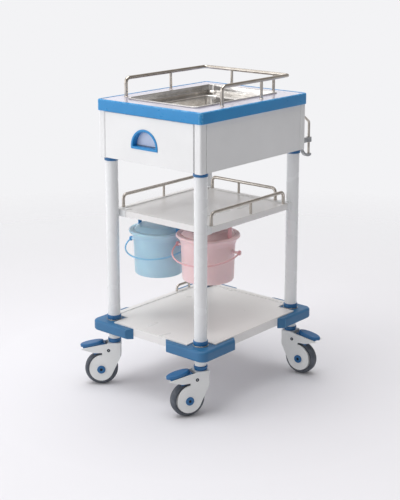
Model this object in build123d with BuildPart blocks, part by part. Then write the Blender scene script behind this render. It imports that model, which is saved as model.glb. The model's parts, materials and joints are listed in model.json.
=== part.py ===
from build123d import *
import math
import os

os.makedirs("parts", exist_ok=True)

# Ward treatment trolley, in millimetres. The origin is on the floor, midway between the four
# swivel axes. +Z is up, and the drawer opens towards -Y.

# Overall sizes
top_width = 400.0
top_length = 494.0
top_height = 880.0

# Cabinet under the top
band_height = 33.0
band_wall = 8.0
band_lap = 4.0
band_corner = 12.0
panel_drop = 1.0
cabinet_height = 139.0
post_size = 26.0
post_round = 6.0
sheet = 2.0
panel_recess = 1.5
floor_sheet = 3.0

# Legs and shelves
leg_diameter = 38.0
leg_wall = 2.0
leg_inset_x = 24.0
leg_inset_y = 27.0
collar_overlap = 2.5
top_collar_height = 10.0
foot_collar_height = 13.0
foot_ring_height = 2.5
foot_ring_overlap = 3.5
shelf_border = 18.0
shelf_recess = 2.0
shelf_skin = 2.5
middle_shelf_top = 547.0
middle_shelf_depth = 19.0
middle_margin_x = 8.0
middle_margin_y = -16.0
cap_reach = 46.0
cap_depth = 22.0
cap_proud = 1.5
lower_shelf_rise = 3.0
lower_shelf_depth = 26.0
lower_margin_x = 32.0
lower_margin_y = 28.5

# Corner bumpers
neck_length = 27.0
bumper_height = 32.0
bumper_bulge = 19.0
bumper_reach = 140.0
bumper_taper = 18.0
bumper_round = 24.0
bumper_edge = 7.0
pad_inner = 27.0

# Steel rails
top_rail_diameter = 11.0
top_rail_height = 55.0
top_rail_inset_x = 37.0
top_rail_inset_back = 48.0
top_rail_left_setback = 87.0
top_rail_right_setback = 133.0
top_rail_bend = 14.0
top_rail_corner = 10.0
shelf_rail_diameter = 10.0
shelf_rail_height = 37.0
shelf_rail_bend = 14.0
shelf_rail_inset = 8.5
rail_foot_diameter = 13.0
rail_foot_height = 2.0

# Drop-in steel tray
tray_side_gap = 28.0
tray_foot_gap = 0.5
tray_flange = 5.0
tray_flange_height = 4.0
tray_depth = 19.0
tray_wall = 1.5
tray_corner = 14.0
tray_gap = 2.0
well_width = 156.0
well_length = 244.0
well_depth = 57.0
well_corner = 28.0

# Drawer
drawer_gap = 1.5
drawer_front_depth = 22.0
front_round = 2.0
drawer_body_gap = 10.0
drawer_wall = 2.0
drawer_body_height = 76.0
runner_thickness = 4.0
runner_height = 20.0
runner_gap = 0.4
runner_end_gap = 6.0
pull_width = 103.0
pull_straight = 1.0
pull_rise = 42.0
pull_offset = -14.0
pull_border = 7.5
pull_proud = 2.5
pull_cup_depth = 18.0
pull_wall = 1.5

# Casters
wheel_diameter = 100.0
wheel_width = 28.0
tyre_depth = 12.0
tyre_round = 7.0
caster_trail = 41.0
fork_plate = 4.0
fork_side_gap = 3.5
fork_disc_inset = 14.0
fork_rise = 34.0
fork_bridge = 15.0
fork_front = 20.0
axle_diameter = 10.0
cap_diameter = 25.0
cap_thickness = 3.5
socket_diameter = 9.0
neck_diameter = 34.0
swivel_pin_diameter = 16.0
swivel_collar_diameter = 40.0
collar_edge_round = 2.0
swivel_collar_height = 12.5
bearing_gap = 0.5
running_gap = 0.05
pedal_pivot_trail = 18.0
pedal_pivot_rise = 11.0
pedal_pin_diameter = 6.0
pedal_boss_diameter = 12.0
pedal_head_diameter = 10.0
pedal_pad_length = 72.0
pedal_pad_width = 36.0
pedal_pad_thickness = 9.0
pedal_pad_tilt = -11.0
brake_gap = 0.4
trail_angles = {
    "front_left": -138.0,
    "front_right": -118.0,
    "back_right": 8.0,
    "back_left": 152.0,
}

# Pails
pail_height = 136.0
pail_wall = 2.0
pail_neck_ratio = 0.84
pail_foot_ratio = 0.80
pail_band = 20.0
pail_turn = 12.0
lid_rise = 12.0
lid_wall = 2.0
lid_shoulder = 14.0
lid_seat_gap = 0.3
bail_gap = 5.0
bail_arm = 6.0
bail_diameter = 5.0
bail_eye = 6.4
bail_eye_wall = 3.2
bail_droop = 14.0
ear_diameter = 8.0
hanger_width = 14.0
hanger_thickness = 4.0
hanger_radius = 16.0
hanger_inset = 12.0
hanger_foot = 2.0
rim_wall = 6.0
rim_ledge = 5.0
hook_rod_diameter = 8.0
ear_drop = 26.0

# Places worked out from the sizes above
cabinet_width = top_width - 2 * band_lap
cabinet_length = top_length - 2 * band_lap
band_bottom = top_height - band_height
cabinet_bottom = band_bottom - cabinet_height
pull_bottom = cabinet_bottom + pull_rise
panel_top = top_height - panel_drop
leg_x = cabinet_width / 2 - leg_inset_x
leg_y = cabinet_length / 2 - leg_inset_y
leg_radius = leg_diameter / 2
lower_half_x = leg_x + lower_margin_x
lower_half_y = leg_y + lower_margin_y
middle_half_x = leg_x + middle_margin_x
middle_half_y = leg_y + middle_margin_y
wheel_radius = wheel_diameter / 2
fork_disc = wheel_radius - fork_disc_inset
fork_top = wheel_diameter + fork_rise
pedal_pivot_height = wheel_diameter + pedal_pivot_rise
neck_bottom = fork_top + bearing_gap + swivel_collar_height
bumper_bottom = neck_bottom + neck_length
bumper_top = bumper_bottom + bumper_height
lower_shelf_top = bumper_top + lower_shelf_rise
shelf_underside = middle_shelf_top - middle_shelf_depth
fork_inner = wheel_width / 2 + fork_side_gap
fork_outer = fork_inner + fork_plate
top_rail_x = top_width / 2 - top_rail_inset_x
top_rail_y = top_length / 2 - top_rail_inset_back
tray_width = 2 * (top_rail_x - tray_side_gap)
tray_length = 2 * (top_rail_y - rail_foot_diameter / 2 - tray_foot_gap)
corners = {
    "front_left": (-1, -1),
    "front_right": (1, -1),
    "back_right": (1, 1),
    "back_left": (-1, 1),
}


def save(piece, label):
    """Label a finished piece and write it as a node of its own."""
    piece.part.label = label
    export_step(piece.part, f"parts/{label}.step")


def corner_points(x, y):
    """The four points that mirror (x, y) about both axes."""
    return [(side_x * x, side_y * y) for side_x, side_y in corners.values()]


# ---------------------------------------------------------------- top and cabinet

with BuildPart() as edge_band:
    with BuildSketch(Plane.XY.offset(band_bottom)):
        RectangleRounded(top_width, top_length, band_corner)
        Rectangle(top_width - 2 * band_wall, top_length - 2 * band_wall, mode=Mode.SUBTRACT)
    extrude(amount=band_height)
    fillet(edge_band.faces().sort_by(Axis.Z)[-1].outer_wire().edges(), 3.0)
save(edge_band, "edge_band")

tray_body_width = tray_width - 2 * tray_flange
tray_body_length = tray_length - 2 * tray_flange

with BuildPart() as top_panel:
    with BuildSketch(Plane.XY.offset(band_bottom)):
        Rectangle(top_width - 2 * band_wall, top_length - 2 * band_wall)
        RectangleRounded(
            tray_body_width + 2 * tray_gap, tray_body_length + 2 * tray_gap, tray_corner, mode=Mode.SUBTRACT
        )
    extrude(amount=panel_top - band_bottom)
save(top_panel, "top_panel")

post_x = cabinet_width / 2 - post_size / 2
post_y = cabinet_length / 2 - post_size / 2
panel_height = cabinet_height - floor_sheet

with BuildPart() as corner_posts:
    with BuildSketch(Plane.XY.offset(cabinet_bottom)):
        with Locations(*corner_points(post_x, post_y)):
            RectangleRounded(post_size, post_size, post_round)
    extrude(amount=cabinet_height)
    with BuildSketch(Plane.XY.offset(cabinet_bottom + floor_sheet)):
        with Locations(*corner_points(post_x, post_y)):
            RectangleRounded(post_size - 2 * sheet, post_size - 2 * sheet, post_round - sheet)
    extrude(amount=panel_height, mode=Mode.SUBTRACT)
save(corner_posts, "corner_posts")

side_panel_length = cabinet_length - 2 * post_size
side_panel_x = cabinet_width / 2 - panel_recess - sheet / 2

with BuildPart() as side_panels:
    with BuildSketch(Plane.XY.offset(cabinet_bottom + floor_sheet)):
        with Locations((-side_panel_x, 0), (side_panel_x, 0)):
            Rectangle(sheet, side_panel_length)
    extrude(amount=panel_height)
save(side_panels, "side_panels")

with BuildPart() as back_panel:
    with BuildSketch(Plane.XY.offset(cabinet_bottom + floor_sheet)):
        with Locations((0, cabinet_length / 2 - panel_recess - sheet / 2)):
            Rectangle(cabinet_width - 2 * post_size, sheet)
    extrude(amount=panel_height)
save(back_panel, "back_panel")

# The floor runs from behind the drawer front to the back, and under both side panels.
floor_front = -cabinet_length / 2 + drawer_front_depth + drawer_gap
floor_back = cabinet_length / 2 - panel_recess
floor_width = cabinet_width - 2 * panel_recess

with BuildPart() as cabinet_floor:
    with BuildSketch(Plane.XY.offset(cabinet_bottom)):
        with Locations((0, (floor_front + floor_back) / 2)):
            Rectangle(floor_width, floor_back - floor_front)
        with Locations(*corner_points(post_x, post_y)):
            Rectangle(post_size, post_size, mode=Mode.SUBTRACT)
    extrude(amount=floor_sheet)
save(cabinet_floor, "cabinet_floor")

# ---------------------------------------------------------------- legs and collars

with BuildPart() as legs:
    with BuildSketch(Plane.XY.offset(bumper_bottom)):
        with Locations(*corner_points(leg_x, leg_y)):
            Circle(leg_radius)
            Circle(leg_radius - leg_wall, mode=Mode.SUBTRACT)
    extrude(amount=cabinet_bottom - bumper_bottom)
save(legs, "legs")

# Blue collars close both ends of each leg, and a thin bright ring lies under each lower one.
foot_collar_bottom = bumper_top + foot_ring_height

with BuildPart() as leg_collars:
    for height, thickness in (
        (cabinet_bottom - top_collar_height, top_collar_height),
        (foot_collar_bottom, foot_collar_height),
    ):
        with BuildSketch(Plane.XY.offset(height)):
            with Locations(*corner_points(leg_x, leg_y)):
                Circle(leg_radius + collar_overlap)
                Circle(leg_radius, mode=Mode.SUBTRACT)
        extrude(amount=thickness)
save(leg_collars, "leg_collars")

with BuildPart() as foot_rings:
    with BuildSketch(Plane.XY.offset(bumper_top)):
        with Locations(*corner_points(leg_x, leg_y)):
            Circle(leg_radius + foot_ring_overlap)
            Circle(leg_radius, mode=Mode.SUBTRACT)
    extrude(amount=foot_ring_height)
save(foot_rings, "foot_rings")

# ---------------------------------------------------------------- shelves and bumpers


def shelf_shell(half_x, half_y, top, depth, notch_x, notch_y):
    """A pressed shelf: a raised border round a sunk panel, open underneath, notched at its corners."""
    with BuildPart() as shelf:
        with BuildSketch(Plane.XY.offset(top - depth)):
            Rectangle(2 * half_x, 2 * half_y)
            with Locations(*corner_points(half_x - notch_x / 2, half_y - notch_y / 2)):
                Rectangle(notch_x, notch_y, mode=Mode.SUBTRACT)
        extrude(amount=depth)
        with BuildSketch(Plane.XY.offset(top - shelf_recess)):
            Rectangle(2 * (half_x - notch_x) - 2 * sheet, 2 * (half_y - shelf_border))
            Rectangle(2 * (half_x - shelf_border), 2 * (half_y - notch_y) - 2 * sheet)
        extrude(amount=shelf_recess, mode=Mode.SUBTRACT)
        with BuildSketch(Plane.XY.offset(top - depth)):
            Rectangle(2 * (half_x - notch_x) - 2 * sheet, 2 * (half_y - sheet))
            Rectangle(2 * (half_x - sheet), 2 * (half_y - notch_y) - 2 * sheet)
        extrude(amount=depth - shelf_recess - shelf_skin, mode=Mode.SUBTRACT)
    return shelf


middle_shelf = shelf_shell(
    middle_half_x, middle_half_y, middle_shelf_top, middle_shelf_depth, cap_reach, cap_depth
)
save(middle_shelf, "middle_shelf")

# Caps fill the middle shelf's notches and reach the legs, which they touch.
cap_height = middle_shelf_depth + 2 * cap_proud

with BuildPart() as shelf_caps:
    with BuildSketch(Plane.XY.offset(middle_shelf_top - middle_shelf_depth - cap_proud)):
        for side_x, side_y in corners.values():
            cap_x = middle_half_x - cap_reach / 2 + cap_proud / 2
            cap_y = middle_half_y - cap_depth / 2 + cap_proud / 2
            with Locations((side_x * cap_x, side_y * cap_y)):
                Rectangle(cap_reach + cap_proud, cap_depth + cap_proud)
        with Locations(*corner_points(leg_x, leg_y)):
            Circle(leg_radius, mode=Mode.SUBTRACT)
    extrude(amount=cap_height)
save(shelf_caps, "shelf_caps")

pad_x = lower_margin_x + pad_inner
pad_y = lower_margin_y + pad_inner
save(
    shelf_shell(lower_half_x, lower_half_y, lower_shelf_top, lower_shelf_depth, pad_x, pad_y),
    "lower_shelf",
)

# One bumper's outline at the back right corner, starting at the end of its arm along X.
bumper_outline = [
    (lower_half_x - bumper_reach, lower_half_y),
    (lower_half_x - bumper_reach + bumper_taper, lower_half_y + bumper_bulge),
    (lower_half_x + bumper_bulge, lower_half_y + bumper_bulge),
    (lower_half_x + bumper_bulge, lower_half_y - bumper_reach + bumper_taper),
    (lower_half_x, lower_half_y - bumper_reach),
    (lower_half_x, lower_half_y - pad_y),
    (lower_half_x - pad_x, lower_half_y - pad_y),
    (lower_half_x - pad_x, lower_half_y),
]
outer_corners = corner_points(*bumper_outline[2])

with BuildPart() as corner_bumpers:
    with BuildSketch(Plane.XY.offset(bumper_bottom)) as footprint:
        for side_x, side_y in corners.values():
            with BuildLine():
                Polyline([(side_x * x, side_y * y) for x, y in bumper_outline], close=True)
            make_face()
        for corner_x, corner_y in outer_corners:
            corner = Vector(corner_x, corner_y, 0)
            fillet(footprint.vertices().sort_by_distance(corner)[0], bumper_round)
        with Locations(*corner_points(leg_x, leg_y)):
            Circle(leg_radius, mode=Mode.SUBTRACT)
    extrude(amount=bumper_height)
    outer_edges = [
        edge
        for edge in corner_bumpers.edges().filter_by(Plane.XY)
        if abs(edge.center().X) > lower_half_x + 1 or abs(edge.center().Y) > lower_half_y + 1
    ]
    fillet([edge for edge in outer_edges if edge.length > 2 * bumper_taper], bumper_edge)
save(corner_bumpers, "corner_bumpers")

# ---------------------------------------------------------------- rails

top_rail_z = panel_top + top_rail_height
top_rail_foot = panel_top + rail_foot_height
top_rail_left_start = -top_length / 2 + top_rail_left_setback
top_rail_right_start = -top_length / 2 + top_rail_right_setback

with BuildPart() as top_rail:
    with BuildLine():
        FilletPolyline(
            (-top_rail_x, top_rail_left_start, top_rail_foot),
            (-top_rail_x, top_rail_left_start, top_rail_z),
            (-top_rail_x, top_rail_y, top_rail_z),
            (top_rail_x, top_rail_y, top_rail_z),
            (top_rail_x, top_rail_right_start, top_rail_z),
            (top_rail_x, top_rail_right_start, top_rail_foot),
            radius=[top_rail_bend, top_rail_corner, top_rail_corner, top_rail_bend],
        )
    with BuildSketch(Plane((-top_rail_x, top_rail_left_start, top_rail_foot))):
        Circle(top_rail_diameter / 2)
    sweep()
save(top_rail, "top_rail")

top_posts = [
    (-top_rail_x, 36.0),
    (-55.0, top_rail_y),
    (107.0, top_rail_y),
    (top_rail_x, 66.0),
]
top_post_radius = top_rail_diameter / 2 - 1.0

rail_ends = [(-top_rail_x, top_rail_left_start), (top_rail_x, top_rail_right_start)]

with BuildPart() as top_rail_posts:
    with BuildSketch(Plane.XY.offset(top_rail_foot)):
        with Locations(*top_posts):
            Circle(top_post_radius)
    extrude(amount=top_rail_z - top_rail_foot)
    add(top_rail.part, mode=Mode.SUBTRACT)
    with BuildSketch(Plane.XY.offset(panel_top)):
        with Locations(*top_posts, *rail_ends):
            Circle(rail_foot_diameter / 2)
    extrude(amount=rail_foot_height)
save(top_rail_posts, "top_rail_posts")


def shelf_rail(start, end, middle):
    """A low guard rail with both ends turned down to the shelf and one post between them."""
    foot = middle_shelf_top
    crest = middle_shelf_top + shelf_rail_height
    with BuildPart() as rail:
        with BuildLine():
            FilletPolyline(
                (start[0], start[1], foot),
                (start[0], start[1], crest),
                (end[0], end[1], crest),
                (end[0], end[1], foot),
                radius=shelf_rail_bend,
            )
        with BuildSketch(Plane((start[0], start[1], foot))):
            Circle(shelf_rail_diameter / 2)
        sweep()
        with BuildSketch(Plane.XY.offset(foot)):
            with Locations(middle):
                Circle(shelf_rail_diameter / 2 - 1.0)
        extrude(amount=shelf_rail_height)
    return rail


rail_side_x = middle_half_x - shelf_rail_inset
rail_back_y = middle_half_y - shelf_rail_inset
rail_front_y = -middle_half_y + cap_depth + shelf_rail_inset
rail_rear_y = middle_half_y - cap_depth - shelf_rail_inset
rail_back_x = middle_half_x - cap_reach - shelf_rail_inset
rail_middle_y = 10.0
rail_middle_x = -18.0

save(
    shelf_rail((-rail_side_x, rail_front_y), (-rail_side_x, rail_rear_y), (-rail_side_x, rail_middle_y)),
    "left_shelf_rail",
)
save(
    shelf_rail((rail_side_x, rail_front_y), (rail_side_x, rail_rear_y), (rail_side_x, rail_middle_y)),
    "right_shelf_rail",
)
save(
    shelf_rail((-rail_back_x, rail_back_y), (rail_back_x, rail_back_y), (rail_middle_x, rail_back_y)),
    "back_shelf_rail",
)

# A short low loop of the same tube stands on the lower shelf's border, at the left back.
loop_front = 96.0
loop_back = 156.0
loop_height = 19.0
loop_x = -lower_half_x + shelf_rail_inset

with BuildPart() as shelf_loop:
    with BuildLine():
        FilletPolyline(
            (loop_x, loop_front, lower_shelf_top),
            (loop_x, loop_front, lower_shelf_top + loop_height),
            (loop_x, loop_back, lower_shelf_top + loop_height),
            (loop_x, loop_back, lower_shelf_top),
            radius=11.0,
        )
    with BuildSketch(Plane((loop_x, loop_front, lower_shelf_top))):
        Circle(shelf_rail_diameter / 2 - 1.0)
    sweep()
save(shelf_loop, "shelf_loop")

# ---------------------------------------------------------------- rear bracket

# A bent rod held off the back of the cabinet, with a clamp ring half way and a strap at its foot.
bracket_x = post_x
bracket_reach = 37.0
bracket_diameter = 8.0
bracket_top = cabinet_bottom + 96.0
bracket_knee = cabinet_bottom + 78.0
bracket_foot = cabinet_bottom - 20.0
bracket_wall_y = cabinet_length / 2
bracket_y = bracket_wall_y + bracket_reach

with BuildPart() as rear_bracket:
    with BuildLine():
        FilletPolyline(
            (bracket_x, bracket_wall_y, bracket_top),
            (bracket_x, bracket_wall_y + bracket_reach / 3, bracket_top),
            (bracket_x, bracket_y, bracket_knee),
            (bracket_x, bracket_y, bracket_foot),
            radius=[8.0, 10.0],
        )
    with BuildSketch(Plane((bracket_x, bracket_wall_y, bracket_top), z_dir=(0, 1, 0))):
        Circle(bracket_diameter / 2)
    sweep()
save(rear_bracket, "rear_bracket")

clamp_bottom = cabinet_bottom + 16.0
clamp_height = 15.0

with BuildPart() as rear_clamp:
    with BuildSketch(Plane.XY.offset(clamp_bottom)):
        with Locations((bracket_x, bracket_y)):
            Circle(9.0)
        with Locations((bracket_x, bracket_y - bracket_reach / 2)):
            Rectangle(9.0, bracket_reach)
        with Locations((bracket_x, bracket_y)):
            Circle(bracket_diameter / 2, mode=Mode.SUBTRACT)
    extrude(amount=clamp_height)
save(rear_clamp, "rear_clamp")

with BuildPart() as rear_strap:
    with BuildSketch(Plane((bracket_x, 0, 0), x_dir=(0, 1, 0), z_dir=(1, 0, 0))):
        with BuildLine():
            strap_outer = ThreePointArc(
                (bracket_wall_y, cabinet_bottom + 2.0),
                (bracket_wall_y + 11.0, bracket_foot - 0.5),
                (bracket_y + 8.0, bracket_foot - 6.0),
            )
            strap_end = Line(strap_outer @ 1, (bracket_y + 8.0, bracket_foot))
            strap_seat = Line(strap_end @ 1, (bracket_y - 8.0, bracket_foot))
            strap_inner = ThreePointArc(
                strap_seat @ 1,
                (bracket_wall_y + 15.0, bracket_foot + 5.0),
                (bracket_wall_y, cabinet_bottom + 10.0),
            )
            Line(strap_inner @ 1, strap_outer @ 0)
        make_face()
    extrude(amount=5.0, both=True)
save(rear_strap, "rear_strap")

# ---------------------------------------------------------------- drop-in tray

with BuildPart() as steel_tray:
    with BuildSketch(Plane.XY.offset(panel_top)):
        RectangleRounded(tray_width, tray_length, tray_corner + tray_flange)
    extrude(amount=tray_flange_height)
    with BuildSketch(Plane.XY.offset(panel_top - tray_depth)):
        RectangleRounded(tray_body_width, tray_body_length, tray_corner)
    extrude(amount=tray_depth)
    with BuildSketch(Plane.XY.offset(panel_top - tray_depth - well_depth)):
        RectangleRounded(well_width, well_length, well_corner)
    extrude(amount=well_depth)
    with BuildSketch(Plane.XY.offset(panel_top + tray_flange_height)):
        RectangleRounded(
            tray_body_width - 2 * tray_wall, tray_body_length - 2 * tray_wall, tray_corner - tray_wall
        )
    extrude(amount=-(tray_depth + tray_flange_height - tray_wall), mode=Mode.SUBTRACT)
    with BuildSketch(Plane.XY.offset(panel_top)):
        RectangleRounded(well_width - 2 * tray_wall, well_length - 2 * tray_wall, well_corner - tray_wall)
    extrude(amount=-(tray_depth + well_depth - tray_wall), mode=Mode.SUBTRACT)
    fillet(steel_tray.faces().sort_by(Axis.Z)[-1].outer_wire().edges(), 1.5)
save(steel_tray, "steel_tray")

# ---------------------------------------------------------------- drawer

drawer_front_face = -cabinet_length / 2
front_width = cabinet_width - 2 * post_size - 2 * drawer_gap
front_height = cabinet_height - 2 * drawer_gap
front_bottom = cabinet_bottom + drawer_gap
pull_radius = pull_width / 2
front_plane = Plane((0, drawer_front_face, 0), x_dir=(1, 0, 0), z_dir=(0, -1, 0))


def pull_outline(shrink):
    """The edges of the pull's D shape, with its flat side down, drawn this much smaller all round."""
    radius = pull_radius - shrink
    base = pull_bottom + shrink
    shoulder = pull_bottom + pull_straight + pull_border
    with BuildLine() as outline:
        Polyline(
            (pull_offset - radius, shoulder),
            (pull_offset - radius, base),
            (pull_offset + radius, base),
            (pull_offset + radius, shoulder),
        )
        CenterArc((pull_offset, shoulder), radius, 0, 180)
    return outline.edges()


cup_inset = pull_border
hole_inset = pull_border - pull_wall

with BuildPart() as drawer_front:
    with BuildSketch(front_plane):
        with Locations((0, front_bottom + front_height / 2)):
            RectangleRounded(front_width, front_height, front_round)
    extrude(amount=-drawer_front_depth)
    with BuildSketch(front_plane.offset(-sheet)):
        with Locations((0, front_bottom + front_height / 2)):
            Rectangle(front_width - 2 * sheet, front_height - 2 * sheet)
    extrude(amount=-(drawer_front_depth - 2 * sheet), mode=Mode.SUBTRACT)
    with BuildSketch(front_plane):
        make_face(pull_outline(hole_inset))
    extrude(amount=-pull_cup_depth, mode=Mode.SUBTRACT)
save(drawer_front, "drawer_front")

with BuildPart() as drawer_pull:
    with BuildSketch(front_plane):
        make_face(pull_outline(0))
    extrude(amount=pull_proud)
    fillet(drawer_pull.faces().sort_by(Axis.Y)[0].edges(), 1.2)
    with BuildSketch(front_plane):
        make_face(pull_outline(hole_inset))
    extrude(amount=-pull_cup_depth)
    with BuildSketch(front_plane.offset(pull_proud)):
        make_face(pull_outline(cup_inset))
    extrude(amount=-(pull_proud + pull_cup_depth - pull_wall), mode=Mode.SUBTRACT)
save(drawer_pull, "drawer_pull")

runner_outer_x = post_x - post_size / 2 - 2.0
outer_runner_x = runner_outer_x - runner_thickness / 2
inner_runner_x = outer_runner_x - runner_thickness - runner_gap
drawer_half_width = inner_runner_x - runner_thickness / 2
drawer_back = cabinet_length / 2 - 2 * post_size
drawer_start = drawer_front_face + drawer_front_depth
drawer_length = drawer_back - drawer_start
drawer_body_bottom = cabinet_bottom + drawer_body_gap
drawer_middle = (drawer_start + drawer_back) / 2

with BuildPart() as drawer_body:
    with BuildSketch(Plane.XY.offset(drawer_body_bottom)):
        with Locations((0, drawer_middle)):
            Rectangle(2 * drawer_half_width, drawer_length)
    extrude(amount=drawer_body_height)
    with BuildSketch(Plane.XY.offset(drawer_body_bottom + drawer_wall)):
        with Locations((0, drawer_middle)):
            Rectangle(2 * (drawer_half_width - drawer_wall), drawer_length - 2 * drawer_wall)
    extrude(amount=drawer_body_height, mode=Mode.SUBTRACT)
save(drawer_body, "drawer_body")

runner_bottom = drawer_body_bottom + drawer_body_height / 2 - runner_height / 2

with BuildPart() as drawer_runners:
    with BuildSketch(Plane.XY.offset(runner_bottom)):
        with Locations((-inner_runner_x, drawer_middle), (inner_runner_x, drawer_middle)):
            Rectangle(runner_thickness, drawer_length - 2 * runner_end_gap)
    extrude(amount=runner_height)
save(drawer_runners, "drawer_runners")

# Fixed runners stand off the side panels on two blocks each.
block_start = outer_runner_x + runner_thickness / 2
block_end = side_panel_x - sheet / 2
block_length = 24.0
block_y = drawer_length / 3

with BuildPart() as cabinet_runners:
    with BuildSketch(Plane.XY.offset(runner_bottom)):
        with Locations((-outer_runner_x, drawer_middle), (outer_runner_x, drawer_middle)):
            Rectangle(runner_thickness, drawer_length - 2 * runner_end_gap)
        with Locations(*corner_points((block_start + block_end) / 2, block_y)):
            Rectangle(block_end - block_start, block_length)
    extrude(amount=runner_height)
save(cabinet_runners, "cabinet_runners")

# ---------------------------------------------------------------- casters

pin_bottom = fork_top - fork_bridge + 1.0

with BuildPart() as caster_stems:
    for height, radius, length in (
        (neck_bottom, neck_diameter / 2, bumper_bottom - neck_bottom),
        (bumper_bottom, leg_radius - leg_wall, bumper_height),
        (pin_bottom, swivel_pin_diameter / 2, neck_bottom - pin_bottom),
    ):
        with BuildSketch(Plane.XY.offset(height)):
            with Locations(*corner_points(leg_x, leg_y)):
                Circle(radius)
        extrude(amount=length)
save(caster_stems, "caster_stems")

with BuildPart() as swivel_collars:
    with BuildSketch(Plane.XY.offset(fork_top + bearing_gap)):
        with Locations(*corner_points(leg_x, leg_y)):
            Circle(swivel_collar_diameter / 2)
            Circle(swivel_pin_diameter / 2, mode=Mode.SUBTRACT)
    extrude(amount=swivel_collar_height)
    top_edges = swivel_collars.faces().sort_by(Axis.Z)[-4:].edges().filter_by(GeomType.CIRCLE)
    fillet(top_edges.sort_by(Edge.length)[-4:], collar_edge_round)
save(swivel_collars, "swivel_collars")


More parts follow.
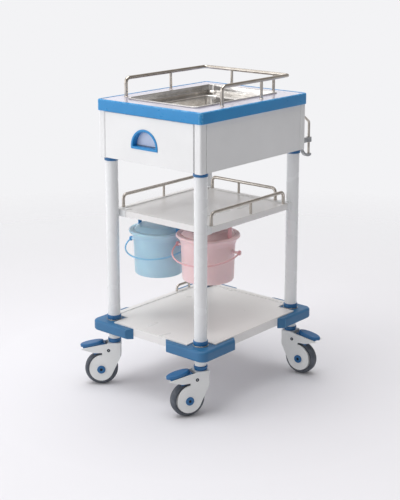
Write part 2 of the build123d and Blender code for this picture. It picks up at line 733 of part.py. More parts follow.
def caster(place, x, y, angle):
    """One swivel caster: fork, axle with caps and pedal pin, rim, tyre and brake pedal.

    In the side plane the first coordinate runs along the trail and the second is height.
    """
    trail = Vector(math.cos(math.radians(angle)), math.sin(math.radians(angle)), 0)
    side = Plane((x, y, 0), x_dir=trail, z_dir=trail.cross(Vector(0, 0, 1)))
    top = Plane((x, y, 0), x_dir=trail, z_dir=(0, 0, 1))
    hub = (caster_trail, wheel_radius)
    pivot = (pedal_pivot_trail, pedal_pivot_height)

    # The plate's lower edge leaves its front edge on a tangent to the disc round the hub.
    front_low = (-fork_front, pedal_pivot_height - 17.0)
    reach = math.dist(front_low, hub)
    tangent = math.degrees(math.atan2(front_low[1] - hub[1], front_low[0] - hub[0]))
    tangent += math.degrees(math.acos(fork_disc / reach))
    disc_end = 375.0
    nose_low = (pedal_pivot_trail + 45.0, pedal_pivot_height - 8.0)
    nose_tip = (pedal_pivot_trail + 85.0, pedal_pivot_height + 4.5)
    throat_top = (hub[0] - 3.0, nose_low[1])
    throat_low = (hub[0] - 3.0, nose_low[1] - 7.0)

    with BuildPart() as fork:
        with BuildSketch(side.offset(fork_inner)):
            with BuildLine():
                disc = CenterArc(hub, fork_disc, tangent, disc_end - tangent)
                bulge = (hub[0] + 26.0, hub[1] + 31.0)
                throat = ThreePointArc(disc @ 1, bulge, throat_low)
                Polyline(
                    throat @ 1,
                    throat_top,
                    nose_low,
                    nose_tip,
                    (fork_front + 4.0, fork_top - 3.0),
                    (fork_front, fork_top),
                    (-fork_front, fork_top),
                    front_low,
                    disc @ 0,
                )
            make_face()
        plate = extrude(amount=fork_plate, mode=Mode.PRIVATE)
        add(plate)
        mirror(plate, about=side)
        with BuildSketch(top.offset(fork_top - fork_bridge)):
            Rectangle(2 * fork_front, 2 * fork_inner)
        extrude(amount=fork_bridge)
        with BuildSketch(top.offset(front_low[1])):
            with Locations((-fork_front + fork_plate / 2, 0)):
                Rectangle(fork_plate, 2 * fork_inner)
        extrude(amount=fork_top - front_low[1])
        front_edges = fork.edges().filter_by(Axis.Z).sort_by(Axis((x, y, 0), tuple(trail)))[:2]
        fillet(front_edges, fork_plate)
        with BuildSketch(top.offset(fork_top - fork_bridge)):
            Circle(swivel_pin_diameter / 2 + running_gap)
        extrude(amount=fork_bridge, mode=Mode.SUBTRACT)
        with BuildSketch(side.offset(-fork_outer)):
            with Locations(hub):
                Circle(axle_diameter / 2)
            with Locations(pivot):
                Circle(pedal_pin_diameter / 2)
        extrude(amount=2 * fork_outer, mode=Mode.SUBTRACT)
    save(fork, f"{place}_fork")

    with BuildPart() as bolts:
        with BuildSketch(side.offset(-fork_outer)):
            with Locations(hub):
                Circle(axle_diameter / 2)
            with Locations(pivot):
                Circle(pedal_pin_diameter / 2)
        extrude(amount=2 * fork_outer)
        for start, amount in ((fork_outer, 1), (-fork_outer, -1)):
            with BuildSketch(side.offset(start)):
                with Locations(hub):
                    Circle(cap_diameter / 2)
            extrude(amount=amount * cap_thickness)
            with BuildSketch(side.offset(start)):
                with Locations(pivot):
                    Circle(pedal_head_diameter / 2)
            extrude(amount=amount * 1.0)
            with BuildSketch(side.offset(start + amount * cap_thickness)):
                with Locations(hub):
                    Circle(socket_diameter / 2)
            extrude(amount=-amount * (cap_thickness - 1.0), mode=Mode.SUBTRACT)
    save(bolts, f"{place}_bolts")

    rim_radius = wheel_radius - tyre_depth
    rim_width = wheel_width - 4.0
    with BuildPart() as rim:
        with BuildSketch(side.offset(-rim_width / 2)):
            with Locations(hub):
                Circle(rim_radius)
                Circle(axle_diameter / 2 + running_gap, mode=Mode.SUBTRACT)
        extrude(amount=rim_width)
        for face, amount in ((rim_width / 2, -5.0), (-rim_width / 2, 5.0)):
            with BuildSketch(side.offset(face)):
                with Locations(hub):
                    Circle(rim_radius - 4.0)
                    Circle(cap_diameter / 2, mode=Mode.SUBTRACT)
            extrude(amount=amount, mode=Mode.SUBTRACT)
    save(rim, f"{place}_rim")

    with BuildPart() as tyre:
        with BuildSketch(side.offset(-wheel_width / 2)):
            with Locations(hub):
                Circle(wheel_radius)
                Circle(rim_radius, mode=Mode.SUBTRACT)
        extrude(amount=wheel_width)
        outer_edges = tyre.edges().filter_by(GeomType.CIRCLE).sort_by(Edge.length)[-2:]
        fillet(outer_edges, tyre_round)
    save(tyre, f"{place}_tyre")

    # The brake shoe's underside follows the tyre, brake_gap clear of it.
    shoe_radius = wheel_radius + brake_gap
    shoe_front = hub[0] - 7.0
    shoe_back = hub[0] + 21.0
    shoe_front_z = hub[1] + math.sqrt(shoe_radius**2 - 7.0**2)
    shoe_back_z = hub[1] + math.sqrt(shoe_radius**2 - 21.0**2)
    pedal_inner = wheel_width / 2 + 1.5
    tilt = math.radians(pedal_pad_tilt)
    slope_point = (fork_front + 4.0, fork_top - 3.0 + brake_gap)
    with BuildPart() as pedal:
        with BuildSketch(side.offset(-pedal_inner)):
            with Locations(pivot):
                Circle(pedal_boss_diameter / 2)
            with BuildLine():
                shoe_arc = ThreePointArc(
                    (shoe_front, shoe_front_z), (hub[0] + 7.0, shoe_front_z), (shoe_back, shoe_back_z)
                )
                Polyline(
                    shoe_arc @ 1,
                    (shoe_back + 5.0, nose_low[1] + 3.0),
                    (nose_tip[0] - 7.0, nose_tip[1] + 1.0),
                    (nose_tip[0] - 7.0, nose_tip[1] + 4.0),
                    (slope_point[0] + 6.0, slope_point[1]),
                    (fork_front + 5.0, pedal_pivot_height + 5.0),
                    (pivot[0], pivot[1] + 3.0),
                    (pivot[0] - 4.0, pivot[1] - 3.0),
                    shoe_arc @ 0,
                )
            make_face()
            with Locations(pivot):
                Circle(pedal_pin_diameter / 2 + running_gap, mode=Mode.SUBTRACT)
        extrude(amount=2 * pedal_inner)
        pad_start = side.from_local_coords((slope_point[0] + 9.0, slope_point[1] - 1.0 + 0.9, 0))
        pad_dir = trail * math.cos(tilt) + Vector(0, 0, math.sin(tilt))
        pad_up = Vector(0, 0, math.cos(tilt)) - trail * math.sin(tilt)
        pad_plane = Plane(pad_start, x_dir=pad_dir, z_dir=pad_up)
        with BuildSketch(pad_plane):
            with Locations((pedal_pad_length / 2, 0)):
                Ellipse(pedal_pad_length / 2, pedal_pad_width / 2)
        extrude(amount=pedal_pad_thickness)
        fillet(pedal.faces().sort_by(Axis(tuple(pad_start), tuple(pad_up)))[-1].edges(), 4.0)
    save(pedal, f"{place}_pedal")


for caster_name, (side_x, side_y) in corners.items():
    caster(caster_name, side_x * leg_x, side_y * leg_y, trail_angles[caster_name])

# ---------------------------------------------------------------- pails

rod_z = shelf_underside + hook_rod_diameter / 2


def pail(colour, x, y, radius, rim_bottom):
    """A round lidded pail with a bail on two ears and a strap that hangs it from a rod."""
    rim_top = rim_bottom + pail_band
    foot = rim_bottom - pail_height + pail_band
    neck_radius = radius * pail_neck_ratio
    foot_radius = radius * pail_foot_ratio
    axis = Plane((x, y, 0))
    turn = math.radians(pail_turn)
    hinge = Vector(math.cos(turn), math.sin(turn), 0)
    ear_z = rim_bottom - ear_drop
    hoop_radius = radius + bail_gap + bail_diameter / 2

    with BuildPart() as body:
        with BuildSketch(Plane((x, y, 0), x_dir=(1, 0, 0), z_dir=(0, -1, 0))):
            with BuildLine():
                Polyline(
                    (0, foot),
                    (foot_radius, foot),
                    (neck_radius, rim_bottom),
                    (radius - 1.0, rim_bottom),
                    (radius, rim_top),
                    (radius - rim_wall + 1.0, rim_top),
                    (radius - rim_wall, rim_bottom + rim_ledge),
                    (neck_radius - pail_wall, rim_bottom + rim_ledge),
                    (foot_radius - pail_wall, foot + pail_wall),
                    (0, foot + pail_wall),
                    close=True,
                )
            make_face()
        revolve(axis=Axis((x, y, 0), (0, 0, 1)))
        for side in (1, -1):
            outward = hinge * side
            ear_plane = Plane((x, y, ear_z), x_dir=(0, 0, 1), z_dir=tuple(outward))
            with BuildSketch(ear_plane.offset(neck_radius - pail_wall)):
                Circle(ear_diameter / 2)
            extrude(amount=hoop_radius + 4.0 - neck_radius + pail_wall)
        for side in (1, -1):
            with BuildSketch(axis.offset(rim_bottom + rim_ledge)):
                with Locations((side * (radius - hanger_inset - hanger_thickness / 2), 0)):
                    Rectangle(hanger_thickness, hanger_width)
            extrude(amount=hanger_foot)
    save(body, f"{colour}_pail")

    lid_radius = radius - hanger_inset - hanger_thickness - lid_seat_gap
    lid_seat = rim_bottom + rim_ledge + lid_seat_gap
    with BuildPart() as lid:
        with BuildSketch(Plane((x, y, 0), x_dir=(1, 0, 0), z_dir=(0, -1, 0))):
            with BuildLine():
                Polyline(
                    (0, rim_top + lid_rise - lid_wall),
                    (lid_radius - lid_shoulder - lid_wall, rim_top + lid_rise - 2 * lid_wall),
                    (lid_radius - lid_wall, rim_top - lid_wall),
                    (lid_radius - lid_wall, lid_seat),
                    (lid_radius, lid_seat),
                    (lid_radius, rim_top),
                    (lid_radius - lid_shoulder, rim_top + lid_rise - lid_wall),
                    (0, rim_top + lid_rise),
                    close=True,
                )
            make_face()
        revolve(axis=Axis((x, y, 0), (0, 0, 1)))
    save(lid, f"{colour}_lid")

    # The bail is a hoop: two straight arms from the ears and a half circle between them.
    droop = math.radians(bail_droop)
    forward = Vector(math.sin(turn), -math.cos(turn), 0)
    outreach = forward * math.cos(droop) - Vector(0, 0, math.sin(droop))
    hoop_plane = Plane((x, y, ear_z), x_dir=tuple(hinge), z_dir=tuple(hinge.cross(outreach)))
    with BuildPart() as bail:
        with BuildLine(hoop_plane):
            first = Line((hoop_radius, 0), (hoop_radius, bail_arm))
            bend = ThreePointArc(first @ 1, (0, bail_arm + hoop_radius), (-hoop_radius, bail_arm))
            Line(bend @ 1, (-hoop_radius, 0))
        with BuildSketch(Plane(first @ 0, z_dir=tuple(outreach))):
            Circle(bail_diameter / 2)
        sweep()
        for side in (1, -1):
            eye_plane = Plane((x, y, ear_z), x_dir=(0, 0, 1), z_dir=tuple(hinge * side))
            with BuildSketch(eye_plane.offset(hoop_radius - bail_eye / 2)):
                Circle(ear_diameter / 2 + bail_eye_wall)
            extrude(amount=bail_eye)
            with BuildSketch(eye_plane.offset(hoop_radius - bail_diameter)):
                Circle(ear_diameter / 2 + running_gap)
            extrude(amount=2 * bail_diameter, mode=Mode.SUBTRACT)
    save(bail, f"{colour}_bail")

    # The hanger is a flat strap standing in the rim, whose top rides on the rod.
    strap_top = rod_z + hook_rod_diameter / 2 + hanger_thickness + lid_seat_gap
    outer = radius - hanger_inset
    inner = outer - hanger_thickness
    strap_foot = rim_bottom + rim_ledge + hanger_foot
    with BuildPart() as hanger:
        with BuildSketch(Plane((x, y, 0), x_dir=(1, 0, 0), z_dir=(0, -1, 0))):
            with BuildLine():
                FilletPolyline(
                    (-outer, strap_foot),
                    (-outer, strap_top),
                    (outer, strap_top),
                    (outer, strap_foot),
                    radius=hanger_radius,
                )
                Line((outer, strap_foot), (inner, strap_foot))
                FilletPolyline(
                    (inner, strap_foot),
                    (inner, strap_top - hanger_thickness),
                    (-inner, strap_top - hanger_thickness),
                    (-inner, strap_foot),
                    radius=hanger_radius - hanger_thickness,
                )
                Line((-inner, strap_foot), (-outer, strap_foot))
            make_face()
        extrude(amount=hanger_width / 2, both=True)
    save(hanger, f"{colour}_hanger")


# Each pail's centre across, its centre behind the shelf's front edge, its radius and its rim below the shelf.
pails = {
    "blue": (-95.0, 102.0, 91.0, 68.0),
    "pink": (94.0, 109.0, 95.0, 52.0),
}
for pail_colour, (pail_x, pail_setback, pail_radius, pail_drop) in pails.items():
    pail(pail_colour, pail_x, pail_setback - middle_half_y, pail_radius, shelf_underside - pail_drop)

# The rods that the hangers ride on run between the middle shelf's front and back walls.
rod_half_length = middle_half_y - sheet

with BuildPart() as hook_rods:
    for pail_x, *_ in pails.values():
        with BuildSketch(Plane((pail_x, -rod_half_length, rod_z), z_dir=(0, 1, 0))):
            Circle(hook_rod_diameter / 2)
        extrude(amount=2 * rod_half_length)
save(hook_rods, "hook_rods")
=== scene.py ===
# %% [markdown]
# # A ward treatment trolley
# The CAD model is the fixed frame here: it gives every place, size and joint. The looks are built round it. Most
# pieces are redrawn as smooth surfaces worked out with numpy, because a CAD mesh has sharp corners that catch no
# light, and every finish is made from nodes.

# %% Load the frame
import json
import math

import bmesh
import bpy
import numpy as np
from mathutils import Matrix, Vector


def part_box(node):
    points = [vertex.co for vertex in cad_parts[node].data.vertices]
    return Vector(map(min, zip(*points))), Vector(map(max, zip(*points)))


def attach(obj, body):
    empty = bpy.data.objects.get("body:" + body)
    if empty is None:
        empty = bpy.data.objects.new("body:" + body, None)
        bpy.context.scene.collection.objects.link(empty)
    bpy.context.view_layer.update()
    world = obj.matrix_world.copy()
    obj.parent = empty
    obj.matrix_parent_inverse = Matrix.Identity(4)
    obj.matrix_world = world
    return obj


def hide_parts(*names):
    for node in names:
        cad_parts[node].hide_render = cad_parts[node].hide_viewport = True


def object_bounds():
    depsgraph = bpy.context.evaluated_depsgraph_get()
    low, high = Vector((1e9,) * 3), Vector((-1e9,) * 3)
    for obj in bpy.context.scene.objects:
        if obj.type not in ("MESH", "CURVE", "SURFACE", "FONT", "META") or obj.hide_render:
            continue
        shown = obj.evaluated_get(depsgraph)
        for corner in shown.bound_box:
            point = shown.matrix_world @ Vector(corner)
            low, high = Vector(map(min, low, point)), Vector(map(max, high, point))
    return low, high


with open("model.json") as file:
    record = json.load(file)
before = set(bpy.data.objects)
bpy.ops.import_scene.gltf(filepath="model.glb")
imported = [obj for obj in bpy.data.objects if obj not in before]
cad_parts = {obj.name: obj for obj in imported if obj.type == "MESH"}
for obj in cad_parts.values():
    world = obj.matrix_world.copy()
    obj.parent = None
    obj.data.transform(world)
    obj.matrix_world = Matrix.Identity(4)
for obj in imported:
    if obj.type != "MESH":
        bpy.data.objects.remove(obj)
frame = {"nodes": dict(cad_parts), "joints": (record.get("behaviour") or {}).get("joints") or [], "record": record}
cad_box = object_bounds()
MM = 0.001
nodes = frame["nodes"]
joints = {joint["name"]: joint for joint in frame["joints"]}
body_of = {node: body for body, names in frame["record"]["behaviour"]["bodies"].items() for node in names}
corners = ("front_left", "front_right", "back_right", "back_left")

# %% [markdown]
# ## Helpers for finishes
# A finish is a small tree of nodes. Colours are written as the sRGB hex that a paint chart gives, and Blender works
# in linear light, so one function turns the first into the second. One more adds a node with its settings and links.

# %% Colour and node helpers


def linear(code):
    """An sRGB hex code as linear red, green, blue and alpha: each channel is ((c + 0.055) / 1.055) to the 2.4."""
    srgb = np.array([int(code[start:start + 2], 16) for start in (1, 3, 5)]) / 255
    light = np.where(srgb <= 0.04045, srgb / 12.92, ((srgb + 0.055) / 1.055) ** 2.4)
    return (*light.tolist(), 1.0)


def add_node(tree, kind, inputs=None, **settings):
    """Adds a node. Settings are its properties, and inputs are sockets to link from or plain values."""
    node = tree.nodes.new(kind)
    for name, value in settings.items():
        setattr(node, name, value)
    for socket, value in (inputs or {}).items():
        if isinstance(value, bpy.types.NodeSocket):
            tree.links.new(value, node.inputs[socket])
        else:
            node.inputs[socket].default_value = value
    return node


def new_finish(name, **shader_values):
    """A new material: its tree, its shader and its Object coordinates. Uniform values go on the shader itself."""
    material = bpy.data.materials.new(name)
    material.use_nodes = True
    tree = material.node_tree
    shader = tree.nodes["Principled BSDF"]
    for socket, value in shader_values.items():
        shader.inputs[socket.replace("_", " ")].default_value = value
    place = add_node(tree, "ShaderNodeTexCoord").outputs["Object"]
    return material, tree, shader, place


def speckle(tree, place, spacing_mm, detail=3.0, stretch=(1.0, 1.0, 1.0)):
    """Noise whose grains lie about spacing_mm apart. A stretch below 1 draws the grains out along that axis."""
    turned = add_node(tree, "ShaderNodeMapping", {"Vector": place, "Scale": stretch})
    grain = {"Vector": turned.outputs[0], "Scale": 1 / (spacing_mm * MM), "Detail": detail}
    return add_node(tree, "ShaderNodeTexNoise", grain).outputs["Fac"]


def patches(tree, place, spacing_mm, low=0.0, high=1.0, between=(0.3, 0.7), **grains):
    """Speckle whose values inside the between limits are carried over to the range from low to high."""
    limits = {"Value": speckle(tree, place, spacing_mm, **grains), "To Min": low, "To Max": high}
    limits.update({"From Min": between[0], "From Max": between[1]})
    return add_node(tree, "ShaderNodeMapRange", limits).outputs[0]


def drifting_colour(tree, shader, amount, colour, shaded, worn=None, rubbed=None):
    """Links a base colour: two hex tones mixed by an amount, with a third tone where the surface is worn."""
    tones = {0: amount, 6: linear(colour), 7: linear(shaded)}
    mixed = add_node(tree, "ShaderNodeMix", tones, data_type="RGBA").outputs[2]
    if worn is not None:
        tones = {0: worn, 6: mixed, 7: linear(rubbed)}
        mixed = add_node(tree, "ShaderNodeMix", tones, data_type="RGBA").outputs[2]
    tree.links.new(mixed, shader.inputs["Base Color"])


def rough_and_bumpy(tree, shader, roughness, height, depth_mm, strength=1.0):
    """Links a roughness, and a bump whose full height is depth_mm."""
    tree.links.new(roughness, shader.inputs["Roughness"])
    bump = {"Height": height, "Distance": depth_mm * MM, "Strength": strength}
    tree.links.new(add_node(tree, "ShaderNodeBump", bump).outputs[0], shader.inputs["Normal"])


def edge_wear(tree, place, most):
    """How worn an edge is, from 0 to most: the edge attribute that the mesh carries, broken up by noise."""
    edge = add_node(tree, "ShaderNodeAttribute", attribute_name="edge").outputs["Fac"]
    rubbed = patches(tree, place, 9.0, high=most, between=(0.42, 0.62))
    return add_node(tree, "ShaderNodeMath", {0: edge, 1: rubbed}, operation="MULTIPLY").outputs[0]


# %% [markdown]
# ## Painted steel
# The cabinet, shelves and legs are sheet steel and tube with an epoxy powder coat. The powder melts into a film with
# a fine orange peel, about a millimetre from crest to crest. Cleaning leaves it a little duller in some places, and
# edges show a thin warm-grey wear. Noise on Object coordinates gives all of that at its real size.

# %% Powder coat


def powder_coat(name, colour, shaded, roughness):
    """Epoxy powder coat on steel: soft gloss, orange peel, faint patches and rubbed edges."""
    material, tree, shader, place = new_finish(name, IOR=1.5, Coat_Weight=0.15, Coat_Roughness=0.2)
    drift = patches(tree, place, 120.0)
    worn = edge_wear(tree, place, 0.55)
    drifting_colour(tree, shader, drift, colour, shaded, worn, "#C9C7C2")
    wiped = patches(tree, place, 60.0, roughness - 0.03, roughness + 0.04, detail=1.0, stretch=(1.0, 0.5, 1.0))
    peel = speckle(tree, place, 1.1, detail=1.0)
    rough_and_bumpy(tree, shader, wiped, peel, 0.012)
    return material


white_sheet = powder_coat("powder_coat_white", "#EEEFEF", "#E9EAEA", 0.34)
shelf_sheet = powder_coat("powder_coat_shelf_white", "#EAE9E8", "#E6E5E4", 0.3)
leg_paint = powder_coat("powder_coat_tube_white", "#EDEFF0", "#E8EAEB", 0.26)
print("powder coats made")

# %% [markdown]
# ## Blue and white plastics
# The band round the top, the collars, the pedals and the bumpers are injection-moulded ABS and soft PVC. A mould
# leaves a faint grain, and hands and doors leave rubbed, slightly paler edges. ABS is glossier than the bumpers' PVC.

# %% Moulded plastics


def moulded_plastic(name, colour, shaded, rubbed, roughness, grain_mm, grain_depth_mm):
    """Injection-moulded plastic: drifting tone, mould grain, hair-thin scuffs and rubbed edges."""
    material, tree, shader, place = new_finish(name, IOR=1.53)
    drift = patches(tree, place, 60.0)
    worn = edge_wear(tree, place, 0.6)
    drifting_colour(tree, shader, drift, colour, shaded, worn, rubbed)
    scuffs = patches(tree, place, 8.0, roughness - 0.03, roughness + 0.05, stretch=(0.4, 0.4, 1.0))
    grain = speckle(tree, place, grain_mm, detail=2.0)
    rough_and_bumpy(tree, shader, scuffs, grain, grain_depth_mm)
    return material


band_blue = moulded_plastic("glossy_abs_blue", "#1E8CCB", "#1A85C4", "#6DB4DE", 0.3, 0.9, 0.008)
collar_blue = moulded_plastic("satin_abs_blue", "#22699F", "#1E6195", "#5793BE", 0.34, 0.8, 0.015)
bumper_blue = moulded_plastic("soft_pvc_blue", "#2E6F9E", "#296895", "#5F94B8", 0.42, 0.7, 0.03)
caster_white = moulded_plastic("nylon_white", "#ECEEED", "#E6E8E7", "#F4F5F4", 0.36, 0.8, 0.025)
rim_nylon = moulded_plastic("nylon_grey_white", "#D2D4D4", "#C8CACA", "#E2E3E2", 0.45, 0.8, 0.03)
recess_film = moulded_plastic("abs_pale_blue", "#C9D4E8", "#C2CEE4", "#D5DDEB", 0.3, 0.9, 0.01)
top_plastic = moulded_plastic("glossy_abs_lavender_grey", "#B9B7C6", "#B3B1C1", "#CFCED8", 0.16, 1.4, 0.01)
print("moulded plastics made")

# %% [markdown]
# ## Pail plastic
# The pails are thin polypropylene, which lets a little light through and keeps faint rings from the mould's turning.
# Some subsurface scattering softens its shade, and a wave along Z draws the rings.

# %% Polypropylene


def polypropylene(name, colour, shaded, roughness=0.36):
    """Thin polypropylene: soft light, rings from the turned mould, waxy gloss with faint handling marks."""
    material, tree, shader, place = new_finish(name, IOR=1.49, Subsurface_Weight=0.12, Subsurface_Scale=0.004)
    drifting_colour(tree, shader, patches(tree, place, 45.0), colour, shaded)
    rings = {"Vector": place, "Scale": 1 / (9.0 * MM), "Distortion": 0.4, "Detail": 1.0}
    turned_marks = add_node(tree, "ShaderNodeTexWave", rings, bands_direction="Z").outputs["Fac"]
    marks = patches(tree, place, 6.0, roughness - 0.06, roughness + 0.1, detail=5.0, stretch=(1.0, 1.0, 0.3))
    rough_and_bumpy(tree, shader, marks, turned_marks, 0.02)
    return material


# For each colour: the pail and lid; a darker copy of that plastic for the hanger and the bail's eyes, which is
# painted shade; and the thin bail.
pail_finishes = {
    "blue": (polypropylene("polypropylene_pale_blue", "#B9DBEB", "#B2D5E7"),
             polypropylene("polypropylene_blue_painted_shade", "#4F9BD2", "#4592CA"),
             polypropylene("polypropylene_soft_blue", "#90C6E6", "#86BEE0")),
    "pink": (polypropylene("polypropylene_pale_pink", "#F0D3D4", "#ECCCCE"),
             polypropylene("polypropylene_pink_painted_shade", "#DFA9AE", "#D9A1A7"),
             polypropylene("polypropylene_soft_pink", "#E9BDC0", "#E4B5B9")),
}
print("polypropylene made in", len(pail_finishes), "colours")

# %% [markdown]
# ## Bare metals
# The rails are polished stainless tube, and the tray is bright rolled sheet. Steel has no colour under its shine, so
# the metallic value is 1 and the looks come from roughness: fine lines along the rolling, and smears from cleaning.

# %% Stainless steel and zinc


def bare_metal(name, colour, darker, roughness, line_mm, stretch, depth_mm):
    """Stainless or zinc-plated steel: drifting tint, lines left by rolling or polishing, and wiped smears."""
    material, tree, shader, place = new_finish(name, Metallic=1.0)
    drifting_colour(tree, shader, patches(tree, place, 25.0), colour, darker)
    smears = patches(tree, place, 18.0, roughness * 0.7, roughness * 1.5, detail=5.0)
    lines = speckle(tree, place, line_mm, detail=4.0, stretch=stretch)
    rough_and_bumpy(tree, shader, smears, lines, depth_mm, strength=0.5)
    return material


rail_steel = bare_metal("polished_stainless_tube", "#D0CAC2", "#BDB6AD", 0.12, 2.0, (1.0, 1.0, 1.0), 0.01)
tray_steel = bare_metal("bright_rolled_stainless", "#D8D6D3", "#C8C5C1", 0.13, 1.2, (1.0, 0.03, 1.0), 0.012)
zinc_steel = bare_metal("zinc_plated_steel", "#B9BBBC", "#9FA1A3", 0.32, 1.0, (1.0, 1.0, 0.2), 0.03)
# Dark steel for the axle sockets and pin heads. In the sockets its dark is also painted shade for the hollow.
dark_steel = bare_metal("dark_steel_and_socket_shade", "#3B414B", "#2B3038", 0.4, 0.8, (1.0, 1.0, 1.0), 0.02)
print("bare metals made")

# %% [markdown]
# ## Tyre rubber
# Grey non-marking rubber is matt, and the part that rolls picks up floor dust. Two noises drive it: a fine one for
# the skin's grain and a broad one for the dust.

# %% Grey rubber


def grey_rubber():
    """Non-marking polyurethane rubber: matt grey with pale dust in patches and a fine moulded skin."""
    material, tree, shader, place = new_finish("non_marking_grey_rubber", IOR=1.5)
    dust = patches(tree, place, 14.0, high=0.55, between=(0.45, 0.75), detail=6.0)
    drifting_colour(tree, shader, dust, "#50565F", "#777B82")
    rough = patches(tree, place, 5.0, 0.48, 0.68)
    rough_and_bumpy(tree, shader, rough, speckle(tree, place, 0.8, detail=2.0), 0.06)
    return material


tyre_rubber = grey_rubber()
print("rubber made")

# %% [markdown]
# ## Surfaces from arrays
# A surface here is a grid of points: rows one way, columns the other. Quads between neighbours make the mesh. Closed
# ways wrap round, a row whose points coincide becomes a pole, and open ends are filled, so each shell is watertight.

# %% Grids to meshes


def quads_of(rows, columns, wrap_rows, wrap_columns, first):
    """Four point numbers for each cell of a grid whose numbering starts at first."""
    index = np.arange(rows * columns).reshape(rows, columns) + first
    right = np.roll(index, -1, axis=1)
    quads = np.stack([index, right, np.roll(right, -1, axis=0), np.roll(index, -1, axis=0)], axis=-1)
    quads = quads if wrap_rows else quads[:-1]
    quads = quads if wrap_columns else quads[:, :-1]
    return quads.reshape(-1, 4)


def close_shells(mesh):
    """Merges doubles, fills open ends and turns every face outwards."""
    work = bmesh.new()
    work.from_mesh(mesh)
    bmesh.ops.remove_doubles(work, verts=work.verts, dist=0.001 * MM)
    bmesh.ops.dissolve_degenerate(work, edges=work.edges, dist=0.0001 * MM)
    bmesh.ops.holes_fill(work, edges=work.edges, sides=0)
    bmesh.ops.recalc_face_normals(work, faces=work.faces)
    work.to_mesh(mesh)
    work.free()


def smooth_to(mesh, degrees):
    """Shades smoothly wherever the surface turns by less than this."""
    mesh.shade_smooth()
    mesh.set_sharp_from_angle(angle=math.radians(degrees))


def skin(name, grids, wrap_rows=False, wrap_columns=True, closed=True, sharp=38.0):
    """One object made of every grid in the list. Each grid is rows x columns x 3, in metres."""
    firsts = np.cumsum([0] + [grid.shape[0] * grid.shape[1] for grid in grids])
    cells = [
        quads_of(*grid.shape[:2], wrap_rows, wrap_columns, first) for grid, first in zip(grids, firsts)
    ]
    mesh = bpy.data.meshes.new(name)
    points = np.vstack([grid.reshape(-1, 3) for grid in grids])
    mesh.from_pydata(points.tolist(), [], np.vstack(cells).tolist())
    if closed:
        close_shells(mesh)
    smooth_to(mesh, sharp)
    piece = bpy.data.objects.new(name, mesh)
    bpy.context.scene.collection.objects.link(piece)
    return piece


FLAT_ENOUGH = 0.985  # the largest part of a normal, above which a face looks along an axis


def mark_edges(piece):
    """Sets the edge attribute to 1 on faces that look along none of the three axes: the rounded edges of a box."""
    normals = np.empty(len(piece.data.polygons) * 3)
    piece.data.polygons.foreach_get("normal", normals)
    slanted = np.abs(normals.reshape(-1, 3)).max(axis=1) < FLAT_ENOUGH
    attribute = piece.data.attributes.new("edge", "FLOAT", "FACE")
    attribute.data.foreach_set("value", slanted.astype(float))
    return piece


def place_piece(piece, material, node, hides=True):
    """Gives a piece its finish, and puts it on the body of its CAD node, which it may stand for and then hides."""
    piece.data.materials.clear()
    piece.data.materials.append(material)
    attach(piece, body_of[node])
    if hides:
        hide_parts(node)
    print(f"{piece.name}: {len(piece.data.polygons)} faces on {body_of[node]}")
    return piece


# %% [markdown]
# ## Paths, tubes and turnings
# Three ways of making a grid cover nearly everything here. A tube is a circle carried along a path of straight runs
# and arcs. A turning is a profile spun about an axis. A stack is a rounded rectangle drawn again at each step of a
# profile. The arcs and spins could also be curve objects or modifiers, but arrays keep every size exact.

# %% Paths, tubes, turnings and stacks


def unit(vector):
    """The vector at length 1, along its last axis."""
    vector = np.asarray(vector, float)
    return vector / np.linalg.norm(vector, axis=-1, keepdims=True)


def arc_path(points, radii, step_degrees=9.0):
    """Straight runs joined by arcs. An arc starts radius x tan(half the turn) before its corner.

    Its points are centre - inward x radius x cos(angle) + forward x radius x sin(angle).
    """
    points = np.array(points, float)
    parts = [points[:1]]
    for before, corner, after, radius in zip(points, points[1:], points[2:], radii):
        forward = unit(corner - before)
        out = unit(after - corner)
        turn = math.acos(np.clip(forward @ out, -1, 1))
        if radius <= 0 or turn < 0.001:
            parts.append(corner[None])
            continue
        inward = unit(out - forward * (forward @ out))
        centre = corner - forward * radius * math.tan(turn / 2) + inward * radius
        count = max(3, math.ceil(math.degrees(turn) / step_degrees) + 1)
        angle = np.linspace(0, turn, count)[:, None]
        parts.append(centre - inward * radius * np.cos(angle) + forward * radius * np.sin(angle))
    return np.vstack([*parts, points[-1:]])


def arc_loop(points, radii, step_degrees=15.0):
    """A closed outline with every corner rounded."""
    return arc_path([points[-1], *points, points[0]], radii, step_degrees)[1:-1]


SKEW = unit([1.0, -1.0, 1.0])  # a direction that no path here runs along


def tube(path, radius, sides=28):
    """A circle of that radius across a path at each of its points: point + radius x (side cos + up sin)."""
    along = unit(np.gradient(path, axis=0))
    side = unit(np.cross(along, SKEW))[:, None]
    up = np.cross(side, along[:, None])
    angle = np.linspace(0, 2 * np.pi, sides, endpoint=False)[None, :, None]
    return path[:, None] + radius * (np.cos(angle) * side + np.sin(angle) * up)


def turned(profile, centre, axis=(0.0, 0.0, 1.0), sides=56):
    """A profile of (radius, height) pairs spun about an axis: centre + height x axis + radius x (cos, sin)."""
    profile = np.array(profile, float)
    axis = unit(axis)
    side = unit(np.cross(axis, SKEW))
    up = np.cross(axis, side)
    angle = np.linspace(0, 2 * np.pi, sides, endpoint=False)[None, :, None]
    radius = profile[:, 0][:, None, None]
    height = profile[:, 1][:, None, None]
    return np.array(centre, float) + height * axis + radius * (np.cos(angle) * side + np.sin(angle) * up)


def stack(half_x, half_y, corner, height, centre=(0.0, 0.0), per_corner=9):
    """Rounded rectangles, one for each height: each corner is a quarter circle round (half - corner)."""
    half_x, half_y, corner, height = (np.asarray(v, float)[:, None] for v in (half_x, half_y, corner, height))
    quarter = np.linspace(0, np.pi / 2, per_corner)
    angle = np.concatenate([quarter + turn * np.pi / 2 for turn in range(4)])[None]
    sign_x = np.repeat([1, -1, -1, 1], per_corner)[None]
    sign_y = np.repeat([1, 1, -1, -1], per_corner)[None]
    x = centre[0] + sign_x * (half_x - corner) + corner * np.cos(angle)
    y = centre[1] + sign_y * (half_y - corner) + corner * np.sin(angle)
    return np.stack([x, y, np.broadcast_to(height, x.shape)], axis=-1)


